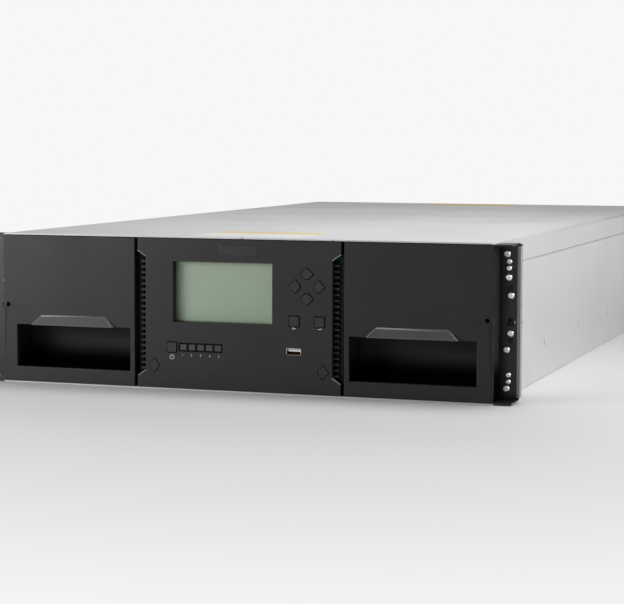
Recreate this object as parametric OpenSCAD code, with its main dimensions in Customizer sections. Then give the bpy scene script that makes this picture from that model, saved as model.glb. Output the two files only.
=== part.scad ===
// Three rack unit tape library: sheet chassis, two slot magazines, a picker robot,
// an operator panel, and plug-in drives, power supplies and controller at the rear.
// Depth is measured from the face of the bezels; place() turns it into Y.

/* [Chassis] */
// Width across both rack ears
rack_w = 482; // [478:0.5:486]
// Width of an ear beside the chassis
ear_w = 17.5; // [16.5:0.1:19]
// Height of the chassis
body_h = 133; // [131:0.5:140]
// Depth from the bezel face to the rear panel
body_d = 876; // [850:1:920]
// Thickness of the chassis sheet
sheet_t = 1.2; // [1:0.1:1.6]
// Outside bend radius of the top cover
cover_bend = 2.5; // [2:0.1:4]
// Height of the seam between side panel and cover
seam_z = 112.5; // [105:0.5:118]
// Set-back of the cover and pan from the bezel face
edge_setback = 1; // [0.5:0.1:3]

/* [Rack ears] */
// Thickness of the ear plate
ear_t = 2; // [1.5:0.1:3]
// Set-back of the ear plate from the bezel face
ear_setback = 23.4; // [20:0.2:26]
// Depth of the return flange on the outer edge of an ear
ear_return = 5; // [3:0.5:8]
// Length of the flange that holds an ear to the chassis side
ear_grip = 46; // [30:1:60]
// Distance of the rack bolt hole from the outer edge of its ear
rack_hole_inset = 8.44; // [7.5:0.01:9]
// Radius of the rack bolt holes
rack_hole_r = 3.5; // [3:0.1:4]
// Height of the rack bolt holes
rack_hole_z = 66.7; // [60:0.1:72]
// Thickness of a screw head
screw_head_t = 1.8; // [1:0.1:2.5]
// Thickness of the studs on the outer edge of an ear
edge_stud_t = 0.6; // [0.4:0.1:1]

/* [Magazine bezels] */
// Lap of a bezel over the inner side of its magazine
bezel_lap = 7.8; // [7:0.1:9]
// Gap between the operator panel and a magazine bezel
bezel_gap = 3; // [2.6:0.1:4]
// Thickness of the bezel skin
skin_t = 3; // [2.5:0.1:4]
// Depth of the walls round a magazine bezel
bezel_wall_d = 22.8; // [18:0.2:23]
// Thickness of the walls round a magazine bezel
bezel_wall_t = 1.5; // [1:0.1:1.8]
// Clearance below and above the bezels
face_gap = 0.3; // [0.2:0.05:0.6]
// Width of the handle pocket
pocket_w = 109.7; // [95:0.1:110]
// Distance of the handle pocket from the bezel's inner edge
pocket_edge = 4.2; // [4:0.1:6]
// Height of the handle pocket
pocket_h = 37.5; // [30:0.5:42]
// Depth of the handle pocket
pocket_d = 30; // [26:0.5:31]
// Height of the pocket's lower edge
pocket_z = 14.5; // [10:0.5:20]
// Radius of the curved pocket floor
pocket_floor_r = 24; // [16:0.5:25]
// Wall thickness of the pocket
pocket_wall = 2.2; // [1.5:0.1:2.4]
// Projection of the grip lip
lip_proud = 4; // [3:0.5:6]
// Height of the grip lip
lip_h = 9; // [7:0.5:12]
// Width of the grip lip at its lower edge
lip_w = 79; // [70:0.5:90]
// Slant of each end of the grip lip
lip_slant = 8.8; // [6:0.2:12]
// Radius of the emergency release hole
release_r = 1.8; // [1.4:0.1:2]
// Height of the emergency release hole
release_z = 69.3; // [66:0.1:72]

/* [Cartridges and magazines] */
// Cartridge size along its way into a slot
cartridge_w = 102; // [100:0.1:103]
// Cartridge size across its way into a slot
cartridge_l = 105.4; // [104:0.1:106]
// Cartridge thickness
cartridge_h = 21.5; // [20:0.1:21.6]
// Clearance above a cartridge in its slot, at least
slot_gap = 0.4; // [0.3:0.1:1]
// Thickness of shelves and magazine plates
shelf_t = 1.5; // [1.2:0.1:1.8]
// Thickness of the dividers between columns
divider_t = 2; // [1.5:0.1:3]
// Room for the runner and the lock beside a magazine
lock_room = 11.7; // [11.5:0.1:12.5]
// Length of a magazine behind its bezel
magazine_len = 442; // [440:1:470]
// Gap between plates that slot together
plate_gap = 0.05; // [0.02:0.01:0.1]
// Height of the guide rails under the magazines
guide_h = 7; // [6:0.1:7.5]
// Running clearance of sliding modules
run_gap = 0.3; // [0.2:0.05:0.5]

/* [Operator panel] */
// Distance of the display window from the panel's left edge
display_left = 33; // [30:0.2:40]
// Distance of the display window from the panel's right edge
display_right = 61.1; // [58:0.2:66]
// Height of the display window
display_h = 52.5; // [45:0.5:56]
// Depth of the display glass behind the panel face
display_recess = 7.6; // [5:0.1:8]
// Thickness of the display glass
glass_t = 1.6; // [1:0.1:2]
// Button travel
button_travel = 1; // [0.5:0.1:1.2]
// Height of a button above the panel face
button_proud = 0.9; // [0.6:0.1:1.5]
// Clearance round a button in its hole
button_gap = 0.25; // [0.15:0.05:0.4]
// Half diagonal of an arrow button
arrow_half = 5.5; // [4.5:0.1:5.8]
// Distance of the arrow buttons from the middle of their cluster
arrow_reach = 10.4; // [9.8:0.1:11]
// Side of a square button
square_side = 8.3; // [7:0.1:9]
// Spacing of the status windows
lamp_pitch = 8; // [7:0.1:8.5]
// Width of a status window
lamp_w = 5.8; // [4.5:0.1:6]
// Height of a status window
lamp_h = 5; // [4:0.1:6]
// Depth of the circuit board's front face
board_y = 14; // [13.5:0.1:14.4]
// Width of a side vent
vent_w = 7.4; // [6:0.1:8]
// Spacing of the ribs in a side vent
rib_pitch = 4.9; // [4:0.1:6]
// Thickness of a rib in a side vent
rib_t = 1.6; // [1:0.1:2.4]

/* [Robot] */
// Module of the lift gears
gear_module = 0.8; // [0.8:0.05:0.9]
// Number of teeth of a lift pinion
pinion_teeth = 12; // [12:2:14]
// Width of the lift racks
rack_face = 6; // [5:0.5:8]
// Radius of the lift shafts
shaft_r = 2.5; // [2:0.1:3]
// Radial running clearance of shafts and pins
bearing_gap = 0.05; // [0.03:0.01:0.1]
// Width of an elevator side rail
rail_w = 6; // [5:0.5:7]
// Height of an elevator side rail
rail_h = 5; // [4.6:0.1:5]
// Length of the carriage along the rails
carriage_l = 80; // [60:1:84]
// Wall thickness of the picker tray
tray_wall = 1.5; // [1:0.1:1.5]
// Reach of the picker tray on its open side
tray_reach = 76; // [70:1:78]
// Length of a gripper finger
finger_l = 18; // [12:0.5:20]

/* [Rear modules] */
// Depth of the drive and power supply bays
bay_d = 224; // [215:1:240]
// Spacing of the drive bays
bay_pitch = 42.5; // [42:0.1:43]
// Height of a drive
drive_h = 41; // [38:0.5:41]
// Width of a drive
drive_w = 159; // [150:0.5:160]
// Width of a power supply
psu_w = 86; // [80:0.5:90]
// Height of a power supply
psu_h = 40.5; // [38:0.5:42]
// Distance between a drive bay and the controller module
controller_gap = 13.8; // [6:0.1:20]
// Height of the controller module
controller_h = 36; // [30:0.5:40]
// Projection of the drive handles behind their face plates
pull_reach = 14.3; // [10:0.1:18]
// Radius of the cooling fans
fan_r = 16.5; // [14:0.5:17]

/* [Hidden] */
$fn = 48;
eps = 0.5;

// Chassis
body_w = rack_w - 2 * ear_w;
half_w = body_w / 2;
side_in = half_w - sheet_t;
rack_hole_span = rack_w - 2 * rack_hole_inset;
face_z0 = sheet_t + face_gap;
face_z1 = body_h - sheet_t - 2 * face_gap;
plate_t = 1.5;
module_face = body_d + face_gap / 2;
pull_back = module_face + plate_t + pull_reach;
front_y = (lip_proud - pull_back) / 2;

// Magazines, set out from the side walls inwards
bezel_x1 = half_w - 0.5;
magazine_x1 = side_in - lock_room;
cartridge_x = magazine_x1 - divider_t - 0.6 - cartridge_w;
magazine_x0 = cartridge_x - 2.5;
bezel_x0 = magazine_x0 - bezel_lap;
pocket_x = bezel_x0 + pocket_edge + pocket_w / 2;
pocket_top = pocket_z + pocket_h;
magazine_y0 = pocket_d + 8.5;
magazine_z0 = sheet_t + guide_h + run_gap;
magazine_z1 = body_h - sheet_t - 4.3;
slot_floor = magazine_z0 + shelf_t;
rows = floor((magazine_z1 - slot_floor) / (cartridge_h + shelf_t + slot_gap));
row_pitch = (magazine_z1 - slot_floor) / rows;
columns = floor((magazine_len - divider_t) / (cartridge_l + divider_t + 1.2));
column_pitch = (magazine_len - divider_t) / columns;
runner_z = 84;
runner_h = 4;
runner_x = side_in - 4.6;
release_x = bezel_x1 - 4.7;

// Magazine lock
lock_x = runner_x - 2;
lock_t = 2.5;
lock_y = magazine_y0 + 61.5;
lock_z = release_z + 0.7;
lock_pin_r = 2;
notch_y = magazine_y0 + 22;
notch_w = 8;

// Operator panel, between the two bezels
panel_half = bezel_x0 - bezel_gap;
panel_w = 2 * panel_half;
bulkhead_y = 17;
bulkhead_back = bulkhead_y + sheet_t;
display_x0 = display_left - panel_half;
display_w = panel_w - display_left - display_right;
display_z0 = face_z1 - 19.6 - display_h;
arrow_x = panel_half - 30;
arrow_z = face_z1 - 38.3;
key_z = face_z1 - 68;
key_x = 11.3;
cap_x = panel_half - 15.8;
cap_z = face_z0 + 19.3;
power_x = 32.3 - panel_half;
lamp_x = power_x + 26.5;
lamp_z = 37.4;
usb_x = panel_half - 41.9;
usb_w = 13.1;
usb_h = 5.8;
badge_x = 1;
badge_w = 34.6;
badge_h = 9.3;
badge_z = face_z1 - 9.1;
vent_z0 = face_z0 + 10;
vent_z1 = face_z1 - 11;
vent_slope = 5.1;
vent_depth = 8;
rib_margin = 6.3;
ribs = floor((vent_z1 - vent_z0 - 2 * rib_margin) / rib_pitch + 1.01);
stem_end = skin_t + 5.2;
switch_top = stem_end + button_travel + 0.2;

// Robot
pitch_r = gear_module * pinion_teeth / 2;
tooth_pitch = PI * gear_module;
rack_back = 10 * gear_module;
pinion_tip = pitch_r + gear_module;
pinion_z = sheet_t + pinion_tip + 0.7;
lift_travel = (rows - 1) * row_pitch;
bay_y = body_d - bay_d;
front_shaft_y = bulkhead_back + rack_back + pitch_r;
rear_shaft_y = bay_y - rack_back - pitch_r;
rack_x = panel_half - 5.5;
beam_y0 = front_shaft_y + pinion_tip + 0.6;
beam_d = 6;
beam_y1 = rear_shaft_y - pinion_tip - 0.6;
rail_x = rack_x;
rail_z = 2;
carriage_z = rail_z + 1.6;
carriage_t = 1.8;
table_z = rail_z + rail_h + 0.4;
pedestal_r = 30;
pivot_r = 10;
tray_half = cartridge_l / 2 + 1 + tray_wall;
tray_back = 56;
tray_top = slot_floor + cartridge_h + 0.5;
picker_y = magazine_y0 + divider_t / 2 + 1.5 * column_pitch;
gripper_d = 12;
gripper_h = 15;
finger_x = 46;

// Rear modules
bay_z = sheet_t + 1.8;
bay_half = drive_w / 2 + 2.5;
module_y = bay_y + 4;
psu_x = side_in - 20.8 - psu_w;
psu_z = [bay_z, bay_z + psu_h + 6];
controller_x = 5.8 - side_in;
controller_w = side_in - 5.8 - bay_half - sheet_t - controller_gap;
shelf_z = psu_z[1] - run_gap - sheet_t;

module place() translate([0, front_y, 0]) children();
module both_sides() { children(); mirror([1, 0, 0]) children(); }
module left_side() mirror([1, 0, 0]) children();
module block(from, to) translate(from) cube(to - from);
// Draws a front view, with Z up, and gives it depth from y0 to y1
module front_view(y0, y1) translate([0, y1, 0]) rotate([90, 0, 0]) linear_extrude(y1 - y0) children();
// Draws a side view, with depth across and Z up, and gives it width from x0 to x1
module side_view(x0, x1) translate([x0, 0, 0]) rotate([90, 0, 90]) linear_extrude(x1 - x0) children();
module rod_x(x0, x1, r) translate([x0, 0, 0]) rotate([0, 90, 0]) cylinder(h = x1 - x0, r = r);
module rod_y(y0, y1, r) translate([0, y0, 0]) rotate([-90, 0, 0]) cylinder(h = y1 - y0, r = r);
module frame_2d(w, h, t) difference() {
    square([w, h], center = true);
    square([w - 2 * t, h - 2 * t], center = true);
}
module round_square(w, h, r) {
    square([w - 2 * r, h], center = true);
    square([w, h - 2 * r], center = true);
    for (x = [-1, 1], z = [-1, 1]) translate([x * (w / 2 - r), z * (h / 2 - r)]) circle(r);
}

// ---------------------------------------------------------------- chassis

module bottom_pan() color("gainsboro") place()
    block([-half_w, edge_setback, 0], [half_w, body_d - sheet_t - face_gap, sheet_t]);

// Side wall with a joggle for the cover flange and a foot flange on the pan
module side_panel() color("gainsboro") place() {
    front = bezel_wall_d + 0.6;
    back = body_d - sheet_t - face_gap;
    foot_w = 11;
    joggle = sheet_t + plate_gap;
    top = body_h - cover_bend;
    front_view(front, back) polygon([
        [half_w - foot_w, sheet_t], [half_w, sheet_t],
        [half_w, seam_z - joggle], [half_w - joggle, seam_z],
        [half_w - joggle, top], [side_in - joggle, top],
        [side_in - joggle, seam_z], [side_in, seam_z - joggle],
        [side_in, 2 * sheet_t], [half_w - foot_w, 2 * sheet_t]
    ]);
    translate([0, lock_y, lock_z]) rod_x(lock_x - 0.4, side_in + sheet_t / 2, lock_pin_r);
}
module side_panel_right() side_panel();
module side_panel_left() left_side() side_panel();

module cover_outline(inset) {
    r = cover_bend - inset;
    w = half_w - inset;
    top = body_h - inset;
    translate([-w, 0]) square([2 * w, top - r]);
    translate([-w + r, 0]) square([2 * (w - r), top]);
    for (s = [-1, 1]) translate([s * (w - r), top - r]) circle(r);
}
module top_cover() color("gainsboro") place() {
    bead_y = bay_y - 15;
    bead_w = 3;
    bead_depth = 0.35;
    bead_x = [[15 - half_w, 111 - half_w], [half_w - 128, half_w - 19]];
    fold_y = ear_setback - 3;
    notch_x = [4, panel_half - 7.5];
    difference() {
        front_view(edge_setback, body_d) intersection() {
            difference() { cover_outline(0); cover_outline(sheet_t); }
            translate([-half_w, seam_z + face_gap]) square([body_w, body_h]);
        }
        for (b = bead_x)
            block([b[0], bead_y, body_h - bead_depth], [b[1], bead_y + bead_w, body_h + eps]);
        for (x = notch_x)
            block([x - 1, 0, body_h - 2 * sheet_t], [x + 1, edge_setback + 1.2, body_h + eps]);
        block([-half_w, fold_y, body_h - bead_depth], [half_w, fold_y + 0.9, body_h + eps]);
        // room for the ear and bezel at the front of the side flanges
        both_sides() block([side_in - eps, 0, 0], [half_w + eps, bezel_wall_d + 0.6, face_z1 + 0.1]);
    }
}

// Posts behind the dark seams and a bulkhead that closes the robot aisle
module front_frame() color("dimgray") place() {
    post_x = panel_half + 0.4;
    post_t = bezel_gap - 0.8;
    post_y = 9;
    difference() {
        block([-post_x - post_t, bulkhead_y, sheet_t], [post_x + post_t, bulkhead_back, body_h - sheet_t]);
        for (x = [-20, 20]) translate([x, 0, 6]) block([-8, bulkhead_y - eps, 0], [8, bulkhead_back + eps, 10]);
    }
    both_sides() block([post_x, post_y, sheet_t], [post_x + post_t, bulkhead_y, body_h - sheet_t]);
}

module drive_opening(grow) for (i = [0, 1, 2])
    translate([-drive_w / 2 - grow, bay_z + i * bay_pitch - grow]) square([drive_w + 2 * grow, drive_h + 2 * grow]);

module rear_panel() color("silver") place() {
    gap = 0.7;
    rows_of_slots = 6;
    slot_pitch = 28;
    slots_in_row = floor((controller_w - 2) / slot_pitch);
    front_view(body_d - sheet_t, body_d) difference() {
        translate([-side_in + 2 * sheet_t, sheet_t + plate_gap])
            square([2 * (side_in - 2 * sheet_t), body_h - 2 * sheet_t - 2 * plate_gap]);
        drive_opening(0.35);
        for (z = psu_z) translate([psu_x - gap, z - gap]) square([psu_w + 2 * gap, psu_h + 2 * gap]);
        translate([controller_x - gap, bay_z - gap]) square([controller_w + 2 * gap, controller_h + 2 * gap]);
        for (j = [0:rows_of_slots - 1], i = [0:slots_in_row - 1])
            translate([controller_x + 4 + i * slot_pitch, 62 + j * 9]) square([slot_pitch - 6, 4]);
    }
}

// ---------------------------------------------------------------- rack ears

ear_x1 = rack_w / 2 - edge_stud_t;
ear_z0 = face_gap + 0.7;
ear_z1 = body_h - 1;
ear_screw_list = [ // offset from the outer edge, height, head radius
    [12.1, 123.1, 3], [10.1, 116.9, 2.3], [10.3, 111.3, 2.3], [10.5, 103.8, 2.9], [8.5, 88.8, 2.9],
    [8.8, 57.4, 2.9], [12, 43.8, 2.9], [10.1, 22.9, 2.2], [10.2, 17.3, 2.2], [12, 11.6, 3]
];
ear_small_holes = [[9, 95.2, 1.9], [8.6, 51.8, 2]];
ear_stud_list = [[66.3, 2.6], [80.9, 1.3]];
module ear_outline() polygon([
    [half_w, ear_z0], [ear_x1 - 1.8, ear_z0], [ear_x1, ear_z0 + 3.3],
    [ear_x1, ear_z1 - 1], [ear_x1 - 1, ear_z1], [half_w, ear_z1]
]);
module rack_ear() color("#1c1c1e") place() {
    back = ear_setback + ear_t;
    flange_t = 1.5;
    difference() {
        front_view(ear_setback, back) ear_outline();
        translate([rack_hole_span / 2, 0, rack_hole_z]) rod_y(ear_setback - eps, back + eps, rack_hole_r);
        for (h = ear_small_holes)
            translate([rack_w / 2 - h[0], 0, h[1]]) rod_y(ear_setback - eps, back + eps, h[2]);
    }
    // rims that reach forward along the top and bottom
    for (z = [ear_z0, ear_z1 - flange_t])
        block([half_w, edge_setback, z], [ear_x1 - 1.8, ear_setback, z + flange_t]);
    // return on the outer edge
    block([ear_x1 - flange_t, back, ear_z0 + 3.3], [ear_x1, back + ear_return, ear_z1 - 1]);
    // flange on the chassis side
    block([half_w, back, ear_z0 + 3], [half_w + flange_t, back + ear_grip, ear_z1 - 3]);
}
module rack_ear_right() rack_ear();
module rack_ear_left() left_side() rack_ear();

module cross_recess(r) {
    translate([0, 0, 0.6]) for (a = [0, 90]) rotate([0, 0, a]) translate([-r * 0.55, -r * 0.12, 0]) cube([r * 1.1, r * 0.24, 3]);
}
module pan_head(r, t) difference() {
    union() { cylinder(h = t * 0.55, r = r); translate([0, 0, t * 0.55]) cylinder(h = t * 0.45, r1 = r, r2 = r * 0.72); }
    cross_recess(r);
}
module ear_screws() color("silver") place() both_sides() {
    for (s = ear_screw_list)
        translate([rack_w / 2 - s[0], ear_setback, s[1]]) rotate([90, 0, 0]) pan_head(s[2], screw_head_t);
    for (s = ear_stud_list)
        translate([ear_x1, ear_setback + ear_t + ear_return / 2, s[0]]) rod_x(0, edge_stud_t, min(s[1], ear_return / 2));
    for (z = [-42, 0, 42])
        translate([half_w + 1.5, ear_setback + ear_t + ear_grip * 0.6, body_h / 2 + z])
            rotate([0, 90, 0]) pan_head(3, screw_head_t);
}

module chassis_fasteners() color("silver") place() {
    rivet_r = 1.5;
    rivet_t = 0.4;
    pair = 1.95;
    first_y = 199;
    pitch_y = 162;
    upper_z = seam_z - 9;
    both_sides() {
        for (i = [0:2], z = [upper_z, 32.5], dz = [-pair, pair])
            translate([half_w, first_y + i * pitch_y, z + dz]) rod_x(0, rivet_t, rivet_r);
        translate([half_w, bay_y - 82, upper_z]) rod_x(0, rivet_t, rivet_r);
        translate([half_w, bay_y - 22, seam_z / 2]) rod_x(0, rivet_t, 2.2);
    }
}

// ---------------------------------------------------------------- operator panel

module arrow_shape(grow) {
    h = arrow_half + grow;
    cut = 1.6;
    polygon([[0, h], [h, 0], [cut, cut - h], [-cut, cut - h], [-h, 0]]);
}
module arrow_at(turn) translate([arrow_x, arrow_z]) rotate(turn) translate([0, arrow_reach]) children();
module cap_shape(grow) {
    w = 5.2 + grow;
    h = 6 + grow;
    cut = 1.4;
    polygon([[0, h], [w, 0], [0, -h], [cut - w, -cut], [cut - w, cut]]);
}
module square_key(grow) round_square(square_side + 2 * grow, square_side + 2 * grow, 0.8);
module key_at(side) translate([arrow_x + side * key_x, key_z]) children();
module power_at() translate([power_x, lamp_z - 0.2]) children();
module display_outline(grow) translate([display_x0 - grow, display_z0 - grow]) square([display_w + 2 * grow, display_h + 2 * grow]);
module vent_outline(grow) polygon([
    [panel_half + grow, vent_z0 - grow], [panel_half - vent_w - grow, vent_z0 + vent_slope - grow],
    [panel_half - vent_w - grow, vent_z1 - vent_slope + grow], [panel_half + grow, vent_z1 + grow]
]);
module lamp_windows(grow) for (i = [-2:2])
    translate([lamp_x + i * lamp_pitch, lamp_z]) square([lamp_w + 2 * grow, lamp_h + 2 * grow], center = true);
module all_keys(grow) {
    for (turn = [0, 90, 180, 270]) arrow_at(turn) arrow_shape(grow);
    for (side = [-1, 1]) key_at(side) square_key(grow);
    power_at() square_key(grow);
}
boss_list = [
    [6.2 - panel_half, face_z0 + 6], [panel_half - 6.2, face_z0 + 6], [-40, face_z1 - 6.5], [40, face_z1 - 6.5]
];

module control_panel_shell() color("#26262a") place() {
    wall = 2;
    recess = 0.5;
    difference() {
        union() {
            front_view(0, skin_t) translate([-panel_half, face_z0]) square([panel_w, face_z1 - face_z0]);
            front_view(skin_t, bulkhead_y) translate([0, (face_z0 + face_z1) / 2]) frame_2d(panel_w, face_z1 - face_z0, wall);
            front_view(skin_t, display_recess) display_outline(wall);
            for (b = boss_list) translate([b[0], 0, b[1]]) rod_y(skin_t - eps, board_y, 2.4);
            both_sides() translate([cap_x, 0, cap_z]) rod_y(skin_t - eps, board_y, 3.4);
        }
        front_view(-eps, display_recess + eps) display_outline(0);
        front_view(-eps, skin_t + eps) all_keys(button_gap);
        front_view(-eps, skin_t + eps) lamp_windows(0.1);
        front_view(-eps, recess) translate([lamp_x, lamp_z + 0.1])
            square([4 * lamp_pitch + lamp_w + 2.9, lamp_h + 2.8], center = true);
        front_view(-eps, skin_t + eps) translate([usb_x, lamp_z - 0.2])
            square([usb_w + 0.3, usb_h + 0.3], center = true);
        front_view(-eps, recess) translate([badge_x, badge_z]) square([badge_w + 0.2, badge_h + 0.2], center = true);
        both_sides() front_view(-eps, vent_depth) vent_outline(0.1);
        both_sides() front_view(-eps, 1.5) translate([cap_x, cap_z]) cap_shape(0.1);
        both_sides() translate([cap_x, 0, cap_z]) rod_y(0, board_y + eps, 1.5);
    }
}
module blank_badge() color("#3a3a3e") place()
    front_view(-0.2, 0.5) translate([badge_x, badge_z]) square([badge_w, badge_h], center = true);
module display_glass() color("#b9c4b4") place()
    front_view(display_recess, display_recess + glass_t) display_outline(1.6);
module light_guides() color("#8b8f8a") place() {
    front_view(0.3, skin_t + 0.2) lamp_windows(0);
    front_view(skin_t + 0.2, skin_t + 2) translate([lamp_x, lamp_z])
        square([4 * lamp_pitch + lamp_w + 2, lamp_h + 2], center = true);
}
module control_board() color("darkgreen") place() {
    board_t = 1.6;
    module_front = display_recess + glass_t;
    difference() {
        block([-panel_half + 2.5, board_y, face_z0 + 2.5], [panel_half - 2.5, board_y + board_t, face_z1 - 2.5]);
        for (b = boss_list) translate([b[0], 0, b[1]]) rod_y(board_y - eps, board_y + board_t + eps, 1.3);
        both_sides() translate([cap_x, 0, cap_z]) rod_y(board_y - eps, board_y + board_t + eps, 1.5);
    }
    front_view(module_front, board_y) display_outline(2.4);
    // tact switches behind the keys
    front_view(switch_top + 0.6, board_y) intersection() {
        union() {
            for (turn = [0, 90, 180, 270]) arrow_at(turn) rotate(-turn) square(6, center = true);
            for (side = [-1, 1]) key_at(side) square(6, center = true);
            power_at() square(6, center = true);
        }
    }
    front_view(switch_top, switch_top + 0.6) {
        for (turn = [0, 90, 180, 270]) arrow_at(turn) circle(1.4);
        for (side = [-1, 1]) key_at(side) circle(1.4);
        power_at() circle(1.4);
    }
    // lamps behind the light guides
    for (i = [-2:2]) translate([lamp_x + i * lamp_pitch, 0, lamp_z]) {
        block([-1.6, skin_t + 2.4, -1.4], [1.6, board_y, 1.4]);
    }
}
module usb_socket() color("silver") place() translate([usb_x, 0, lamp_z - 0.2]) {
    wall = 0.4;
    front_view(0.4, board_y) difference() {
        round_square(usb_w, usb_h, 0.5);
        round_square(usb_w - 2 * wall, usb_h - 2 * wall, 0.3);
    }
    front_view(board_y - 1.5, board_y) square([usb_w - 2 * wall, usb_h - 2 * wall], center = true);
    front_view(2, board_y - 1.5) translate([0, 1.1]) square([11, 1.8], center = true);
}
// Ladder of louvre ribs on a spine behind the skin, open to the seam beside the panel
module vent_grilles() color("#2c2c30") place() both_sides() {
    spine_x = panel_half - vent_w - 0.1;
    spine_w = 2.2;
    front = skin_t;
    first = vent_z0 + rib_margin;
    block([spine_x - spine_w, front, vent_z0 + vent_slope], [spine_x, vent_depth, vent_z1 - vent_slope]);
    for (i = [0:ribs - 1])
        translate([0, 0, first + i * rib_pitch])
            block([spine_x, front, -rib_t / 2], [panel_half - 2.2, vent_depth, rib_t / 2]);
}
module panel_screw_caps() color("#1d1d20") place() both_sides()
    front_view(-0.3, 1.45) translate([cap_x, cap_z]) cap_shape(0);

// A key: its cap through the skin, a flange behind the skin, and a stem to the switch
module key_stack() {
    front_view(-button_proud, skin_t + 0.15) children(0);
    front_view(skin_t + 0.15, skin_t + 1.2) children(1);
    front_view(skin_t + 1.2, stem_end) children(2);
}
module arrow_key(turn) color("#4a4a50") place() key_stack() {
    arrow_at(turn) arrow_shape(0);
    arrow_at(turn) arrow_shape(0.9);
    arrow_at(turn) circle(1.6);
}
module side_key(side) color("#4a4a50") place() key_stack() {
    key_at(side) square_key(0);
    key_at(side) square_key(1.2);
    key_at(side) circle(1.6);
}
module button_up() arrow_key(0);
module button_left() arrow_key(90);
module button_down() arrow_key(180);
module button_right() arrow_key(270);
module button_back() side_key(-1);
module button_enter() side_key(1);
module button_power() color("#4a4a50") place() key_stack() {
    power_at() square_key(0);
    power_at() square_key(1.2);
    power_at() circle(1.6);
}

// ---------------------------------------------------------------- magazines

module scoop_outline(grow) {
    r = pocket_floor_r + grow;
    difference() {
        translate([-eps, pocket_z - grow]) square([pocket_d + grow + eps, pocket_h + 2 * grow]);
        translate([pocket_d + grow - r, pocket_z - grow]) difference() {
            translate([0, -eps]) square([r + eps, r + eps]);
            translate([0, r]) circle(r);
        }
    }
}
module grip_lip() {
    intersection() {
        front_view(-lip_proud - eps, skin_t) polygon([
            [pocket_x - lip_w / 2, pocket_top], [pocket_x + lip_w / 2, pocket_top],
            [pocket_x + lip_w / 2 - lip_slant, pocket_top + lip_h], [pocket_x - lip_w / 2 + lip_slant, pocket_top + lip_h]
        ]);
        side_view(bezel_x0, bezel_x1) polygon([
            [skin_t, pocket_top], [-lip_proud, pocket_top], [-lip_proud, pocket_top + 1.2],
            [-0.9, pocket_top + lip_h - 1.6], [0, pocket_top + lip_h], [skin_t, pocket_top + lip_h]
        ]);
    }
}
module magazine_bezel() color("#222225") place() {
    mid_x = (bezel_x0 + bezel_x1) / 2;
    mid_z = (face_z0 + face_z1) / 2;
    tub_x0 = pocket_x - pocket_w / 2;
    tub_x1 = pocket_x + pocket_w / 2;
    difference() {
        union() {
            front_view(0, skin_t) translate([mid_x, mid_z]) square([bezel_x1 - bezel_x0, face_z1 - face_z0], center = true);
            front_view(skin_t, bezel_wall_d) translate([mid_x, mid_z]) frame_2d(bezel_x1 - bezel_x0, face_z1 - face_z0, bezel_wall_t);
            side_view(tub_x0 - pocket_wall, tub_x1 + pocket_wall) intersection() {
                scoop_outline(pocket_wall);
                translate([skin_t - eps, 0]) square([200, 200]);
            }
            grip_lip();
            // screw lugs that carry the magazine frame
            for (z = [magazine_z1 - 14, 70])
                block([magazine_x0 + 6, skin_t, z], [magazine_x0 + 20, magazine_y0, z + 8]);
            block([magazine_x1 - 20, skin_t, magazine_z1 - 14], [magazine_x1 - 6, magazine_y0, magazine_z1 - 6]);
        }
        side_view(tub_x0, tub_x1) scoop_outline(0);
        translate([release_x, 0, release_z]) rod_y(-eps, skin_t + eps, release_r);
    }
}
module magazine_bezel_right() magazine_bezel();
module magazine_bezel_left() left_side() magazine_bezel();

// Plates of a magazine: floor, roof, outer wall with its runner, and dividers
module magazine_frame() color("lightsteelblue") place() {
    y0 = magazine_y0;
    y1 = magazine_y0 + magazine_len;
    wall_x = magazine_x1 - divider_t;
    block([magazine_x0, y0, magazine_z0], [magazine_x1, y1, slot_floor]);
    block([magazine_x0, y0, magazine_z1 - shelf_t], [magazine_x1, y1, magazine_z1]);
    block([wall_x, y0, slot_floor + plate_gap], [magazine_x1, y1, magazine_z1 - shelf_t - plate_gap]);
    for (i = [0:columns])
        translate([0, y0 + i * column_pitch, 0])
            block([magazine_x0, 0, slot_floor + plate_gap], [wall_x - plate_gap, divider_t, magazine_z1 - shelf_t - plate_gap]);
    // runner along the outer wall, with the notch for the lock between its two lengths
    for (part = [[y0, notch_y], [notch_y + notch_w, y1]])
        block([magazine_x1 + plate_gap, part[0], runner_z], [runner_x, part[1], runner_z + runner_h]);
}
module magazine_frame_right() magazine_frame();
module magazine_frame_left() left_side() magazine_frame();

module magazine_shelves() color("lightsteelblue") place()
    for (i = [0:columns - 1], j = [1:rows - 1])
        translate([0, magazine_y0 + i * column_pitch + divider_t + plate_gap, slot_floor + j * row_pitch - shelf_t])
            block([magazine_x0, 0, 0], [magazine_x1 - divider_t - plate_gap, column_pitch - divider_t - 2 * plate_gap, shelf_t]);
module magazine_shelves_right() magazine_shelves();
module magazine_shelves_left() left_side() magazine_shelves();

// Cartridge with a bevelled leading corner and a finger notch on each side
module cartridge() {
    bevel = 6;
    notch = 2.5;
    linear_extrude(cartridge_h) difference() {
        polygon([
            [0, 0], [cartridge_w - bevel, 0], [cartridge_w, bevel],
            [cartridge_w, cartridge_l], [0, cartridge_l]
        ]);
        for (y = [0, cartridge_l]) translate([6, y]) square([8, 2 * notch], center = true);
    }
}
module cartridge_stack(first_column) color("#2e3338") place()
    for (i = [first_column:columns - 1], j = [0:rows - 1])
        translate([
            cartridge_x,
            magazine_y0 + i * column_pitch + (column_pitch + divider_t - cartridge_l) / 2,
            slot_floor + j * row_pitch
        ]) cartridge();
module cartridges_right() cartridge_stack(0);
// The front column of the left magazine is the mail slot column and stays empty
module cartridges_left() left_side() cartridge_stack(1);

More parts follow.
